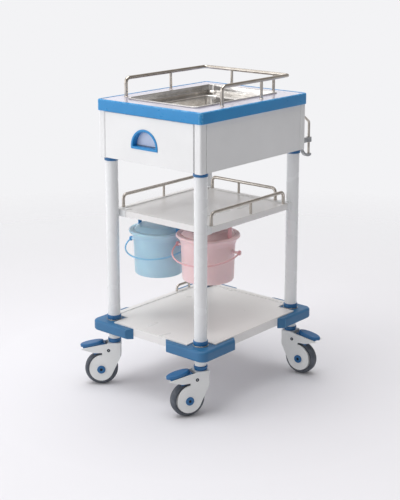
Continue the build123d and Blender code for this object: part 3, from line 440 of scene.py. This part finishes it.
def softened(name, node, width_mm, material, segments=3, sharp=38.0):
    """A copy of a CAD node with its sharp edges rounded over, as folding, moulding or a file leaves them."""
    mesh = nodes[node].data.copy()
    mesh.name = name
    work = bmesh.new()
    work.from_mesh(mesh)
    bmesh.ops.remove_doubles(work, verts=work.verts, dist=0.002 * MM)
    bmesh.ops.dissolve_limit(work, angle_limit=math.radians(0.4), verts=work.verts, edges=work.edges)
    edges = [e for e in work.edges if len(e.link_faces) == 2 and e.calc_face_angle() > math.radians(sharp)]
    edge_layer = work.faces.layers.float.new("edge")
    rounded = bmesh.ops.bevel(
        work, geom=edges, offset=width_mm * MM, segments=segments, profile=0.5, affect="EDGES", clamp_overlap=True
    )
    for face in rounded["faces"]:
        face[edge_layer] = float(max(abs(part) for part in face.normal) < FLAT_ENOUGH)
    bmesh.ops.remove_doubles(work, verts=work.verts, dist=0.0005 * MM)
    bmesh.ops.triangulate(work, faces=[face for face in work.faces if len(face.verts) > 4])
    work.to_mesh(mesh)
    work.free()
    smooth_to(mesh, sharp)
    piece = bpy.data.objects.new(name, mesh)
    bpy.context.scene.collection.objects.link(piece)
    weighted = piece.modifiers.new("flat_faces", "WEIGHTED_NORMAL")
    weighted.keep_sharp = True
    return place_piece(piece, material, node)


# %% [markdown]
# ## The blue band and the top
# The band is one extruded strip bent round the table's edge. It is drawn as a stack: its section goes up the outside,
# over a rounded shoulder and down the inside. The lavender-grey top is the CAD plate with its edge eased.

# %% Band and top plate


def edge_strip(name, node, wall_mm, corner_mm, radii_mm):
    """The strip's section, carried round a rounded rectangle. A larger inset draws a smaller rectangle."""
    low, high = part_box(node)
    wall = wall_mm * MM
    section = arc_loop(
        [(0, low.z), (0, high.z), (wall, high.z), (wall, low.z)], [radius * MM for radius in radii_mm]
    )
    inset = section[:, 0]
    corner = np.maximum(corner_mm * MM - inset, 2 * MM)
    return skin(name, [stack(high.x - inset, high.y - inset, corner, section[:, 1])], wrap_rows=True)


band = mark_edges(edge_strip("blue_edge_band", "edge_band", 8.0, 12.0, (1.0, 4.0, 1.2, 0.5)))
place_piece(band, band_blue, "edge_band")
softened("top_plate", "top_panel", 0.8, top_plastic)

# %% [markdown]
# ## The drop-in tray
# The tray is pressed from one bright sheet: a rolled rim, a shallow pan and a deep well. Its upper face is one stack
# of rounded rectangles that goes over the rim, down the pan's wall, across its floor, over the well's lip and down to
# the middle of the well's floor. Solidify then gives the sheet its thickness on the hidden side.

# %% Steel tray


def pressed_tray():
    """The pan's profile steps in from the rim's rectangle, and the well's from its own, smaller one."""
    low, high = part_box("steel_tray")
    pan_depth, sheet = 21.5 * MM, 1.5 * MM
    rim, floor, well_floor = high.z, high.z - pan_depth, low.z + sheet
    pan = arc_path(
        [(0, rim - 3.8 * MM), (0, rim), (6.5 * MM, rim), (8.5 * MM, floor), (20 * MM, floor)],
        [1.6 * MM, 2.4 * MM, 6.0 * MM],
    )
    well_lip = arc_path(
        [(-12 * MM, floor), (0, floor), (4 * MM, well_floor), (40 * MM, well_floor)], [6 * MM, 14 * MM]
    )
    well_half_x, well_half_y = 76.5 * MM, 120.5 * MM
    half_x = np.concatenate([high.x - pan[:, 0], well_half_x - well_lip[:, 0], [0]])
    half_y = np.concatenate([high.y - pan[:, 0], well_half_y - well_lip[:, 0], [0]])
    pan_corner = 19 * MM - pan[:, 0] * 0.6
    well_corner = np.maximum(27 * MM - well_lip[:, 0] * 0.5, 2 * MM)
    corner = np.concatenate([pan_corner, well_corner, [0]])
    height = np.concatenate([pan[:, 1], well_lip[:, 1], [well_floor - 0.2 * MM]])
    return skin("pressed_steel_tray", [stack(half_x, half_y, corner, height, per_corner=14)], closed=False)


def merge_pole(piece):
    """Joins the points that meet at a pole, and keeps the way that the faces point."""
    work = bmesh.new()
    work.from_mesh(piece.data)
    bmesh.ops.remove_doubles(work, verts=work.verts, dist=0.001 * MM)
    work.to_mesh(piece.data)
    work.free()
    smooth_to(piece.data, 38.0)


tray = pressed_tray()
merge_pole(tray)
sheet_thickness = tray.modifiers.new("sheet_thickness", "SOLIDIFY")
sheet_thickness.thickness = 0.9 * MM
sheet_thickness.offset = -1.0
place_piece(tray, tray_steel, "steel_tray")

# %% [markdown]
# ## The steel rails
# Each rail is one tube bent on a former, with thinner posts welded under it and a small rose at each foot. A tube is
# a circle carried along its path, and a rose is a turning.

# %% Guard rails


def rose(x, y, z, radius):
    """A low domed disc round a tube's foot."""
    profile = arc_path(
        [(0, 0), (radius, 0), (radius, 0.9 * MM), (radius - 1.2 * MM, 1.9 * MM), (0, 2.0 * MM)],
        [0.2 * MM, 0.4 * MM, 0.6 * MM],
    )
    return turned(profile + [0, z], (x, y, 0), sides=36)


def top_guard():
    """The top rail starts at its left foot, runs round the back and comes down at its right foot."""
    low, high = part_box("top_rail")
    radius = 5.5 * MM
    x, back, left_front, right_front = high.x - radius, high.y - radius, low.y + radius, -114 * MM
    foot, crest = low.z, high.z - radius
    path = arc_path(
        [(-x, left_front, foot), (-x, left_front, crest), (-x, back, crest),
         (x, back, crest), (x, right_front, crest), (x, right_front, foot)],
        [14 * MM, 10 * MM, 10 * MM, 14 * MM],
    )
    posts = [(-x, 36 * MM), (-55 * MM, back), (107 * MM, back), (x, 66 * MM)]
    post_tubes = [tube(np.array([[px, py, foot], [px, py, crest]]), 4.5 * MM) for px, py in posts]
    feet = [*posts, (-x, left_front), (x, right_front)]
    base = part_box("top_rail_posts")[0].z
    rail = skin("top_guard_rail", [tube(path, radius)])
    supports = skin("top_guard_posts", [*post_tubes, *[rose(px, py, base, 6.5 * MM) for px, py in feet]])
    place_piece(rail, rail_steel, "top_rail")
    place_piece(supports, rail_steel, "top_rail_posts")


def low_guard(name, node, radius, bend, across, post=None):
    """A low rail with both ends turned down. across is 0 if it runs along X and 1 if it runs along Y."""
    low, high = (np.array(corner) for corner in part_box(node))
    start, end = (low + high) / 2, (low + high) / 2
    start[across], end[across] = low[across] + radius, high[across] - radius
    foot, crest = low[2], high[2] - radius
    path = [(*start[:2], foot), (*start[:2], crest), (*end[:2], crest), (*end[:2], foot)]
    grids = [tube(arc_path(path, [bend, bend]), radius)]
    if post is not None:
        middle = start.copy()
        middle[across] = post
        grids.append(tube(np.array([(*middle[:2], foot), (*middle[:2], crest)]), radius - 1.0 * MM))
    place_piece(skin(name, grids), rail_steel, node)


top_guard()
low_guard("left_guard_rail", "left_shelf_rail", 5 * MM, 14 * MM, 1, post=10 * MM)
low_guard("right_guard_rail", "right_shelf_rail", 5 * MM, 14 * MM, 1, post=10 * MM)
low_guard("back_guard_rail", "back_shelf_rail", 5 * MM, 14 * MM, 0, post=-18 * MM)
low_guard("low_strap_loop", "shelf_loop", 4 * MM, 11 * MM, 1)

# %% [markdown]
# ## The rear bracket
# A bent rod stands off the back of the cabinet, with a clamp ring half way down and a strap at its foot.

# %% Rear bracket


def rear_rod():
    """The rod leaves the cabinet, slants down and then hangs straight."""
    low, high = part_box("rear_bracket")
    radius = 4 * MM
    x, wall, y, top = (low.x + high.x) / 2, low.y, high.y - radius, high.z - radius
    third = wall + (y - wall) / 3
    path = arc_path(
        [(x, wall, top), (x, third, top), (x, y, top - 18 * MM), (x, y, low.z)], [8 * MM, 10 * MM]
    )
    place_piece(skin("rear_bracket_rod", [tube(path, radius)]), rail_steel, "rear_bracket")


rear_rod()
softened("rear_clamp_ring", "rear_clamp", 1.0, zinc_steel)
softened("rear_foot_strap", "rear_strap", 0.8, zinc_steel)

# %% [markdown]
# ## Legs, collars and rings
# The legs are plain tube. Blue collars close both ends, a thin bright ring lies under each lower collar, and a white
# neck joins each caster. All of them are turnings about the leg's axis.

# %% Legs and collars

leg_places = [tuple(joints[f"{corner}_swivel_turn"]["pos_m"][:2]) for corner in corners]


def turnings(name, node, profiles, material, sides=56):
    """The same closed profiles spun about each leg's axis."""
    grids = [turned(profile, (x, y, 0), sides=sides) for profile in profiles for x, y in leg_places]
    return place_piece(skin(name, grids, wrap_rows=True), material, node)


def band_profile(inner, outer, low, high, edge):
    """A ring's section: a rectangle from inner to outer radius with its outer edges rounded."""
    return arc_loop([(inner, low), (outer, low), (outer, high), (inner, high)], [0.1 * MM, edge, edge, 0.1 * MM])


leg_low, leg_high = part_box("legs")
leg_radius = leg_high.x - leg_places[1][0]
collar_low, collar_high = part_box("leg_collars")
collar_radius = collar_high.x - leg_places[1][0]
ring_low, ring_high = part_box("foot_rings")
ring_radius = ring_high.x - leg_places[1][0]
swivel_low, swivel_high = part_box("swivel_collars")
swivel_radius = swivel_high.x - leg_places[1][0]
stem_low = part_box("caster_stems")[0]
neck_radius = 17 * MM
stem_radius = 7.9 * MM
tube_wall = 2 * MM
lap = 0.1 * MM  # how far a collar or ring reaches into the tube's surface
neck_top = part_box("corner_bumpers")[0].z

leg_section = band_profile(leg_radius - tube_wall, leg_radius, leg_low.z, leg_high.z, 0.5 * MM)
turnings("leg_tubes", "legs", [leg_section], leg_paint)
turnings(
    "leg_end_collars",
    "leg_collars",
    [
        band_profile(leg_radius - lap, collar_radius, collar_high.z - 10 * MM, collar_high.z, 1.2 * MM),
        band_profile(leg_radius - lap, collar_radius, collar_low.z, collar_low.z + 13 * MM, 2.0 * MM),
    ],
    collar_blue,
)
turnings(
    "bright_foot_rings",
    "foot_rings",
    [band_profile(leg_radius - lap, ring_radius, ring_low.z, ring_high.z, 1.0 * MM)],
    rail_steel,
)
bore = 8 * MM
waist = swivel_radius - 1.6 * MM
swivel_section = arc_loop(
    [(bore, swivel_low.z), (waist, swivel_low.z), (waist, swivel_low.z + 5 * MM),
     (swivel_radius, swivel_low.z + 6.5 * MM), (swivel_radius, swivel_high.z), (bore, swivel_high.z)],
    [0.1 * MM, 0.6 * MM, 0.6 * MM, 1.0 * MM, 2.2 * MM, 0.1 * MM],
)
turnings("swivel_end_collars", "swivel_collars", [swivel_section], collar_blue)
neck_foot, neck_head = swivel_high.z - 1 * MM, neck_top + 4 * MM
stem_section = arc_path(
    [(0, stem_low.z), (stem_radius, stem_low.z), (stem_radius, neck_foot), (neck_radius, neck_foot),
     (neck_radius, neck_head), (0, neck_head)],
    [0.8 * MM, 0.2 * MM, 0.8 * MM, 0.8 * MM],
)
stem_grids = [turned(stem_section, (x, y, 0)) for x, y in leg_places]
place_piece(skin("caster_necks", stem_grids), caster_white, "caster_stems")

# %% [markdown]
# ## Folded and moulded panels
# The cabinet's posts, panels and floor, the shelves, the bumpers and the drawer's box are shapes that CAD already
# draws well. Each gets its real edge radius by bevelling a merged copy. A bevel catches a thin line of light.

# %% Panels, shelves and bumpers

panel_edges_mm = {
    "corner_posts": (1.0, white_sheet),
    "side_panels": (0.5, white_sheet),
    "back_panel": (0.5, white_sheet),
    "cabinet_floor": (0.6, white_sheet),
    "drawer_front": (1.0, white_sheet),
    "drawer_body": (0.6, white_sheet),
    "middle_shelf": (1.0, shelf_sheet),
    "shelf_caps": (1.4, leg_paint),
    "lower_shelf": (1.0, shelf_sheet),
    "corner_bumpers": (2.2, bumper_blue),
    "drawer_runners": (0.6, zinc_steel),
    "cabinet_runners": (0.6, zinc_steel),
    "hook_rods": (0.5, zinc_steel),
}
for panel_node, (edge_mm, panel_finish) in panel_edges_mm.items():
    softened(f"{panel_node}_skin", panel_node, edge_mm, panel_finish)

# %% [markdown]
# ## The drawer pull
# The pull is a moulded cup with a D-shaped outline: flat below and a half circle above. Its grid repeats the D at
# each step of a section that goes over the lip and down into the cup. A pale film lines the back of the cup.

# %% Drawer pull


def d_rings(centre_x, base, radius, shoulder, inset, depth, arc_points=33, flat_points=12):
    """A D for each inset and depth: a half circle about (centre, shoulder), and a flat base with rounded corners."""
    inset, depth = (np.asarray(v, float)[:, None] for v in (inset, depth))
    size = radius - inset
    angle = np.linspace(0, np.pi, arc_points)[None]
    arc_x, arc_z = centre_x + size * np.cos(angle), shoulder + size * np.sin(angle)
    bend = 2.5 * MM
    left_turn = np.linspace(np.pi, 1.5 * np.pi, 6)[None]
    right_turn = np.linspace(1.5 * np.pi, 2 * np.pi, 6)[None]
    floor = base + inset + bend
    left_x, left_z = centre_x - size + bend + bend * np.cos(left_turn), floor + bend * np.sin(left_turn)
    right_x, right_z = centre_x + size - bend + bend * np.cos(right_turn), floor + bend * np.sin(right_turn)
    share = np.linspace(0, 1, flat_points + 2)[None, 1:-1]
    flat_x = left_x[:, -1:] + (right_x[:, :1] - left_x[:, -1:]) * share
    flat_z = np.broadcast_to(left_z[:, -1:], flat_x.shape)
    x = np.hstack([arc_x, left_x, flat_x, right_x])
    z = np.hstack([arc_z, left_z, flat_z, right_z])
    return np.stack([x, np.broadcast_to(depth, x.shape), z], axis=-1)


def pull_pieces():
    """Two closed shells: the lip with its cup wall, and the flat back of the cup."""
    low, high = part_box("drawer_pull")
    radius, centre_x, shoulder = (high.x - low.x) / 2, (high.x + low.x) / 2, low.z + 8.5 * MM
    face, back = low.y, high.y
    section = arc_loop(
        [(0.2 * MM, face + 3.2 * MM), (0.2 * MM, face), (7.4 * MM, face), (7.9 * MM, back), (6.3 * MM, back),
         (6.1 * MM, face + 3.2 * MM)],
        [0.3 * MM, 2.0 * MM, 2.2 * MM, 0.3 * MM, 0.4 * MM, 0.4 * MM],
    )
    lip_rings = d_rings(centre_x, low.z, radius, shoulder, *section.T)
    lip = skin("drawer_pull_lip", [lip_rings], wrap_rows=True, sharp=50.0)
    place_piece(lip, band_blue, "drawer_pull")
    plate_insets = np.array([7.6, 7.6, 7.6]) * MM
    plate_depths = np.array([back - 2.2 * MM, back - 1.6 * MM, back - 0.2 * MM])
    plate = skin("drawer_pull_back", [d_rings(centre_x, low.z, radius, shoulder, plate_insets, plate_depths)])
    place_piece(plate, recess_film, "drawer_pull", hides=False)


pull_pieces()

# %% [markdown]
# ## Casters
# Each caster has a white nylon housing, a tyre on a nylon rim, an axle with blue caps and a blue brake pedal. The
# wheel's axis and hub come from its joint. Tyre, rim and caps are turnings about that axis.

# %% Wheels and axle caps


def wheel_axis(corner):
    """The hub's place and the axle's direction, from the joint that spins the wheel."""
    joint = joints[f"{corner}_wheel_spin"]
    return np.array(joint["pos_m"]), unit(joint["axis"])


TREAD = 50 * MM  # the wheel's radius
CAP_BASE = 21.0 * MM  # how far from the wheel's middle the housing's sides are


def groove(height):
    """Four points of a shallow groove in the tread, centred on that height."""
    bed = TREAD - 0.7 * MM
    return [
        (TREAD, height - 0.9 * MM), (bed, height - 0.5 * MM), (bed, height + 0.5 * MM), (TREAD, height + 0.9 * MM),
    ]


def wheel(corner):
    """Tyre and rim. The tyre's section has round shoulders and two fine grooves."""
    hub, axle = wheel_axis(corner)
    outline = [
        (38 * MM, -13.2 * MM), (41 * MM, -14 * MM), (45 * MM, -13.6 * MM), (TREAD, -8 * MM), *groove(-4 * MM),
        *groove(4 * MM), (TREAD, 8 * MM), (45 * MM, 13.6 * MM), (41 * MM, 14 * MM), (38 * MM, 13.2 * MM),
    ]
    bends = [0.5, 2.0, 3.0, 4.5, *[0.15] * 8, 4.5, 3.0, 2.0, 0.5]
    tyre_section = arc_loop(outline, [bend * MM for bend in bends])
    tyre = skin(f"{corner}_rubber_tyre", [turned(tyre_section, hub, axle, sides=96)], wrap_rows=True)
    place_piece(tyre, tyre_rubber, f"{corner}_tyre")
    half = [(5.1, 12.0), (12.6, 12.0), (14.0, 7.6), (30.5, 7.0), (34.0, 11.6), (38.0, 12.0)]
    rim_outline = [(r * MM, -h * MM) for r, h in half] + [(r * MM, h * MM) for r, h in reversed(half)]
    half_bends = [0.3, 1, 2, 3, 1.5, 0.3]
    rim_section = arc_loop(rim_outline, [radius * MM for radius in half_bends + half_bends[::-1]])
    rim = skin(f"{corner}_nylon_rim", [turned(rim_section, hub, axle, sides=72)], wrap_rows=True)
    place_piece(rim, rim_nylon, f"{corner}_rim")


def axle_caps(corner):
    """Blue caps with a dark socket on both ends of the axle, partly painted shade for its hollow, and a dark pin head
    with a bright middle above.
    """
    hub, axle = wheel_axis(corner)
    pivot = np.array(joints[f"{corner}_brake_press"]["pos_m"])
    cap = arc_path(
        [(0, CAP_BASE), (12.5 * MM, CAP_BASE), (12.5 * MM, 24.0 * MM), (10.6 * MM, 24.9 * MM),
         (5.6 * MM, 24.9 * MM), (4.5 * MM, 24.2 * MM), (4.5 * MM, 22.4 * MM), (0, 22.4 * MM)],
        [0.2 * MM, 1.0 * MM, 0.8 * MM, 0.5 * MM, 0.4 * MM, 0.2 * MM],
    )
    socket = arc_path(
        [(0, 22.3 * MM), (4.5 * MM, 22.3 * MM), (4.5 * MM, 23.2 * MM), (3.0 * MM, 23.2 * MM),
         (2.6 * MM, 22.8 * MM), (0, 22.8 * MM)],
        [0.1 * MM, 0.3 * MM, 0.2 * MM, 0.2 * MM],
    )
    head = arc_path(
        [(0, 21.3 * MM), (5.0 * MM, 21.3 * MM), (5.0 * MM, 22.2 * MM), (2.4 * MM, 22.45 * MM),
         (2.2 * MM, 21.9 * MM), (0, 21.9 * MM)],
        [0.1 * MM, 0.5 * MM, 0.2 * MM, 0.1 * MM],
    )
    middle = arc_path(
        [(0, 21.7 * MM), (1.9 * MM, 21.7 * MM), (1.9 * MM, 22.3 * MM), (0, 22.4 * MM)], [0.1 * MM, 0.4 * MM]
    )
    sides = (1.0, -1.0)
    caps = skin(f"{corner}_axle_caps", [turned(cap, hub, axle * side) for side in sides])
    # The dark socket discs fill the bottom of each cap's hollow, and they are partly painted shade.
    sockets = [turned(socket, hub, axle * side) for side in sides]
    heads = [turned(head, pivot, axle * side, sides=40) for side in sides]
    darks = skin(f"{corner}_pin_heads", sockets + heads)
    middles = skin(f"{corner}_pin_middles", [turned(middle, pivot, axle * side, sides=32) for side in sides])
    shaft_radius = 4.9 * MM
    shaft = arc_path(
        [(0, -CAP_BASE), (shaft_radius, -CAP_BASE), (shaft_radius, CAP_BASE), (0, CAP_BASE)], [0.3 * MM] * 2
    )
    pin = shaft * [0.6, 1.0]
    shafts = skin(f"{corner}_shafts", [turned(shaft, hub, axle, sides=32), turned(pin, pivot, axle, sides=24)])
    place_piece(caps, collar_blue, f"{corner}_bolts")
    for extra, finish in ((darks, dark_steel), (middles, zinc_steel), (shafts, zinc_steel)):
        place_piece(extra, finish, f"{corner}_bolts", hides=False)


for corner in corners:
    wheel(corner)
    axle_caps(corner)
    softened(f"{corner}_housing", f"{corner}_fork", 1.6, caster_white)
    softened(f"{corner}_brake_pedal", f"{corner}_pedal", 1.0, collar_blue)

# %% [markdown]
# ## Pails
# Each pail is one turning: a standing foot, a tapered wall, a step under the rim and a broad rim that the lid drops
# into. The lid is a low dome with a flat top. The bail is a hoop of wire-thin plastic with an eye at each end.

# %% Pails, lids and bails

LID_GAP = 0.6 * MM


def pail_shell(colour, centre, radius, lid_radius):
    """The outside goes up from the foot, the rim turns in to the lid's edge, and the inside goes back down."""
    low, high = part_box(f"{colour}_pail")
    foot, top = low.z, high.z
    rim = top - 20 * MM
    neck, base = radius * 0.84, radius * 0.80
    lip = lid_radius + LID_GAP
    outline = [
        (0, foot + 2.5 * MM), (base - 9 * MM, foot + 2.5 * MM), (base - 7 * MM, foot), (base - 1.5 * MM, foot),
        (base, foot + 3 * MM), (neck, rim - 6 * MM), (neck + 1.9 * MM, rim - 5 * MM), (neck + 2.2 * MM, rim - 2 * MM),
        (neck + 6 * MM, rim + 6 * MM), (radius, top - 6 * MM), (radius - 3 * MM, top),
        (lip + 0.7 * MM, top), (lip, top - 0.7 * MM), (lip, rim + 4 * MM), (neck - 2 * MM, rim + 4 * MM),
        (base - 2 * MM, foot + 6 * MM), (base - 8 * MM, foot + 4.5 * MM), (0, foot + 4.5 * MM),
    ]
    bends = [1.0, 0.8, 1.2, 2.0, 0.4, 0.8, 6.0, 14.0, 3.0, 2.5, 0.3, 0.3, 0.3, 0.3, 4.0, 1.0]
    profile = arc_path(outline, [bend * MM for bend in bends])
    return turned(profile, (*centre[:2], 0), sides=96)


def ear_pins(centre, hinge, neck, reach):
    """A round pin on a stepped boss at each side, with a domed end."""
    profile = arc_path(
        [(0, neck - 1.5 * MM), (8.5 * MM, neck - 1.5 * MM), (7.5 * MM, neck + 2.4 * MM), (3.9 * MM, neck + 3 * MM),
         (3.9 * MM, reach - 2 * MM), (2.4 * MM, reach), (0, reach)],
        [0.3 * MM, 1.5 * MM, 0.8 * MM, 1.0 * MM, 1.0 * MM],
    )
    return [turned(profile, centre, hinge * side, sides=40) for side in (1, -1)]


def pail_lid(colour, centre, radius):
    """A low dome: an upright edge, a sloping shoulder, a fine ring and a flat top, hollow underneath."""
    low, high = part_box(f"{colour}_lid")
    edge = low.z + 14.7 * MM
    outline = [
        (0, high.z), (radius - 16 * MM, high.z - 0.4 * MM), (radius - 17 * MM, high.z - 1.1 * MM),
        (radius - 14 * MM, high.z - 2.2 * MM), (radius - 2 * MM, edge + 1.5 * MM), (radius, edge - 2 * MM),
        (radius, low.z), (radius - 2 * MM, low.z), (radius - 2 * MM, edge - 3 * MM),
        (radius - 15 * MM, high.z - 4.6 * MM), (0, high.z - 3 * MM),
    ]
    bends = [0.6, 0.6, 4.0, 5.0, 1.5, 0.4, 0.4, 3.0, 3.0]
    profile = arc_path(outline, [bend * MM for bend in bends])
    return skin(f"{colour}_pail_lid", [turned(profile, (*centre[:2], 0), sides=96)])


def pail_bail(colour, centre, hinge, droop_degrees=14.0):
    """The hoop is two short arms and a half circle, in a plane through the ears that droops forwards."""
    forward = np.cross(hinge, [0, 0, 1])
    droop = math.radians(droop_degrees)
    reach = forward * math.cos(droop) - np.array([0, 0, math.sin(droop)])
    hoop = pail_radius[colour] + 7.5 * MM
    arm = 6 * MM
    angle = np.linspace(0, np.pi, 73)[:, None]
    bend = centre + hinge * hoop * np.cos(angle) + reach * (arm + hoop * np.sin(angle))
    path = np.vstack([centre + hinge * hoop, bend, centre - hinge * hoop])
    eye = arc_loop(
        [(4.05 * MM, hoop - 3.2 * MM), (7.2 * MM, hoop - 3.2 * MM), (7.2 * MM, hoop + 3.2 * MM),
         (4.05 * MM, hoop + 3.2 * MM)],
        [0.5 * MM, 1.4 * MM, 1.4 * MM, 0.5 * MM],
    )
    hoop_wire = skin(f"{colour}_bail_hoop", [tube(path, 2.5 * MM, sides=20)])
    eye_rings = [turned(eye, centre, hinge * side, sides=36) for side in (1, -1)]
    eyes = skin(f"{colour}_bail_eyes", eye_rings, wrap_rows=True)
    return hoop_wire, eyes


def pail_width(colour):
    """Half the pail's size along Y, where its ears don't reach."""
    low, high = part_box(f"{colour}_pail")
    return (high.y - low.y) / 2


pail_radius = {colour: pail_width(colour) for colour in pail_finishes}


def pail(colour):
    """One pail with its ears, lid, bail and hanger, placed by the joint that its bail swings on."""
    main, deeper_painted_shade, softer = pail_finishes[colour]
    swing = joints[f"{colour}_bail_swing"]
    centre, hinge = np.array(swing["pos_m"]), -unit(swing["axis"])
    radius = pail_radius[colour]
    lid_low, lid_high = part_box(f"{colour}_lid")
    lid_radius = (lid_high.x - lid_low.x) / 2
    ears = ear_pins(centre, hinge, radius * 0.84 - 1 * MM, radius + 11.5 * MM)
    body = skin(f"{colour}_pail_body", [pail_shell(colour, centre, radius, lid_radius), *ears])
    place_piece(body, main, f"{colour}_pail")
    place_piece(pail_lid(colour, centre, lid_radius), main, f"{colour}_lid")
    hoop_wire, eyes = pail_bail(colour, centre, hinge)
    place_piece(hoop_wire, softer, f"{colour}_bail")
    # The bail's eyes and the hanger take the darker copy, which is painted shade.
    place_piece(eyes, deeper_painted_shade, f"{colour}_bail", hides=False)
    softened(f"{colour}_hanger_strap", f"{colour}_hanger", 0.9, deeper_painted_shade)


for colour in pail_finishes:
    pail(colour)

# %% [markdown]
# ## Floor, light and camera
# The floor is a pale disc whose edge fades into the surroundings, so no horizon shows. Light comes from a large
# soft box on the left, in front and above, and a stronger one overhead. The surroundings are pale low down and
# straight overhead, with a brown-grey stretch between, because polished steel only looks like steel with something
# darker to reflect.

# %% Floor


def studio_floor():
    """A flat disc whose paint fades to clear with distance, so that it meets the surroundings without a line."""
    grid = turned([(0.0, 0.0), (1.0, 0.0), (2.0, 0.0), (4.0, 0.0), (9.0, 0.0)], (0, 0, -0.5 * MM), sides=96)
    floor = skin("studio_floor", [grid], closed=False)
    material, tree, shader, place = new_finish("pale_studio_floor", Roughness=0.75)
    drifting_colour(tree, shader, patches(tree, place, 900.0), "#EBEBF0", "#E9E9EE")
    away = add_node(tree, "ShaderNodeVectorMath", {0: place}, operation="LENGTH").outputs["Value"]
    fading = {"Value": away, "From Min": 0.7, "From Max": 2.6, "To Min": 1.0, "To Max": 0.0}
    tree.links.new(add_node(tree, "ShaderNodeMapRange", fading).outputs[0], shader.inputs["Alpha"])
    floor.data.materials.append(material)
    print("floor laid,", len(floor.data.polygons), "faces")


studio_floor()

# %% Light


def soft_box(name, location, target, size, power, tint):
    """A square area light that faces its target."""
    lamp = bpy.data.lights.new(name, "AREA")
    lamp.shape = "SQUARE"
    lamp.size = size
    lamp.energy = power
    lamp.color = linear(tint)[:3]
    holder = bpy.data.objects.new(name, lamp)
    location = np.array(location, float)
    away = location - np.array(target, float)
    flat = math.hypot(away[0], away[1])
    holder.location = location
    holder.rotation_euler = (math.atan2(flat, away[2]), 0, math.atan2(away[0], -away[1]))
    bpy.context.scene.collection.objects.link(holder)
    print(f"{name}: {power} W from {size} m across")


def surroundings():
    """Light from all round: pale near the horizon, brown-grey above it, pale overhead, and dimmer towards +X.

    What the camera sees straight behind the object is one plain pale tone.
    """
    world = bpy.data.worlds.new("studio")
    bpy.context.scene.world = world
    world.use_nodes = True
    tree = world.node_tree
    direction = add_node(tree, "ShaderNodeTexCoord").outputs["Generated"]
    parts = add_node(tree, "ShaderNodeSeparateXYZ", {0: direction})
    rising = {"Value": parts.outputs["Z"], "From Min": -1.0, "From Max": 1.0, "To Min": 0.0, "To Max": 1.0}
    height = add_node(tree, "ShaderNodeMapRange", rising).outputs[0]
    ramp = add_node(tree, "ShaderNodeValToRGB", {"Fac": height})
    stops = [
        (0.0, "#E9E9EF"), (0.49, "#F1F1F5"), (0.60, "#F3F3F6"),
        (0.70, "#A7A19C"), (0.84, "#958F8A"), (1.0, "#FFFFFF"),
    ]
    for position, _ in stops[2:]:
        ramp.color_ramp.elements.new(position)
    for element, (position, colour_code) in zip(ramp.color_ramp.elements, stops):
        element.position = position
        element.color = linear(colour_code)
    across = {"Value": parts.outputs["X"], "From Min": -0.15, "From Max": 0.55, "To Min": 1.0, "To Max": 0.36}
    share = add_node(tree, "ShaderNodeMapRange", across).outputs[0]
    dimming = {0: share, 6: linear("#000000"), 7: ramp.outputs["Color"]}
    dimmed = add_node(tree, "ShaderNodeMix", dimming, data_type="RGBA").outputs[2]
    seen = add_node(tree, "ShaderNodeLightPath").outputs["Is Camera Ray"]
    lifting = {0: dimmed, "Scale": 1.38}
    lifted = add_node(tree, "ShaderNodeVectorMath", lifting, operation="SCALE").outputs["Vector"]
    backdrop = {0: seen, 6: lifted, 7: linear("#F3F3F5")}
    shown = add_node(tree, "ShaderNodeMix", backdrop, data_type="RGBA").outputs[2]
    tree.links.new(shown, tree.nodes["Background"].inputs["Color"])
    tree.nodes["Background"].inputs["Strength"].default_value = 1.0
    print("surroundings made with", len(stops), "tones from below to overhead")


low, high = cad_box
middle_point = ((low.x + high.x) / 2, (low.y + high.y) / 2, high.z * 0.5)
surroundings()
soft_box("key_box", (-1.5, -3.2, 2.2), middle_point, 3.0, 34.0, "#FFFFFF")
soft_box("top_box", (-0.3, -0.2, 3.6), middle_point, 3.0, 66.0, "#FFFFFF")

# %% Camera


def studio_camera(azimuth, elevation, location, lens, shift_up):
    """A long lens held level from side to side. Azimuth 0 looks along +Y, and elevation is how far it looks down."""
    camera = bpy.data.cameras.new("studio_camera")
    camera.lens = lens
    camera.sensor_width = 36.0
    camera.shift_y = shift_up
    holder = bpy.data.objects.new("studio_camera", camera)
    holder.location = location
    holder.rotation_euler = (math.radians(90 - elevation), 0, math.radians(azimuth))
    bpy.context.scene.collection.objects.link(holder)
    bpy.context.scene.camera = holder
    print("camera lens", lens, "mm, looking down by", elevation, "degrees")


studio_camera(40.5, 12.8, (2.1718, -2.5601, 1.3874), 82.7, -0.14)
bpy.context.scene.view_settings.view_transform = "Standard"

# %% Sizes
print("CAD box", cad_box)
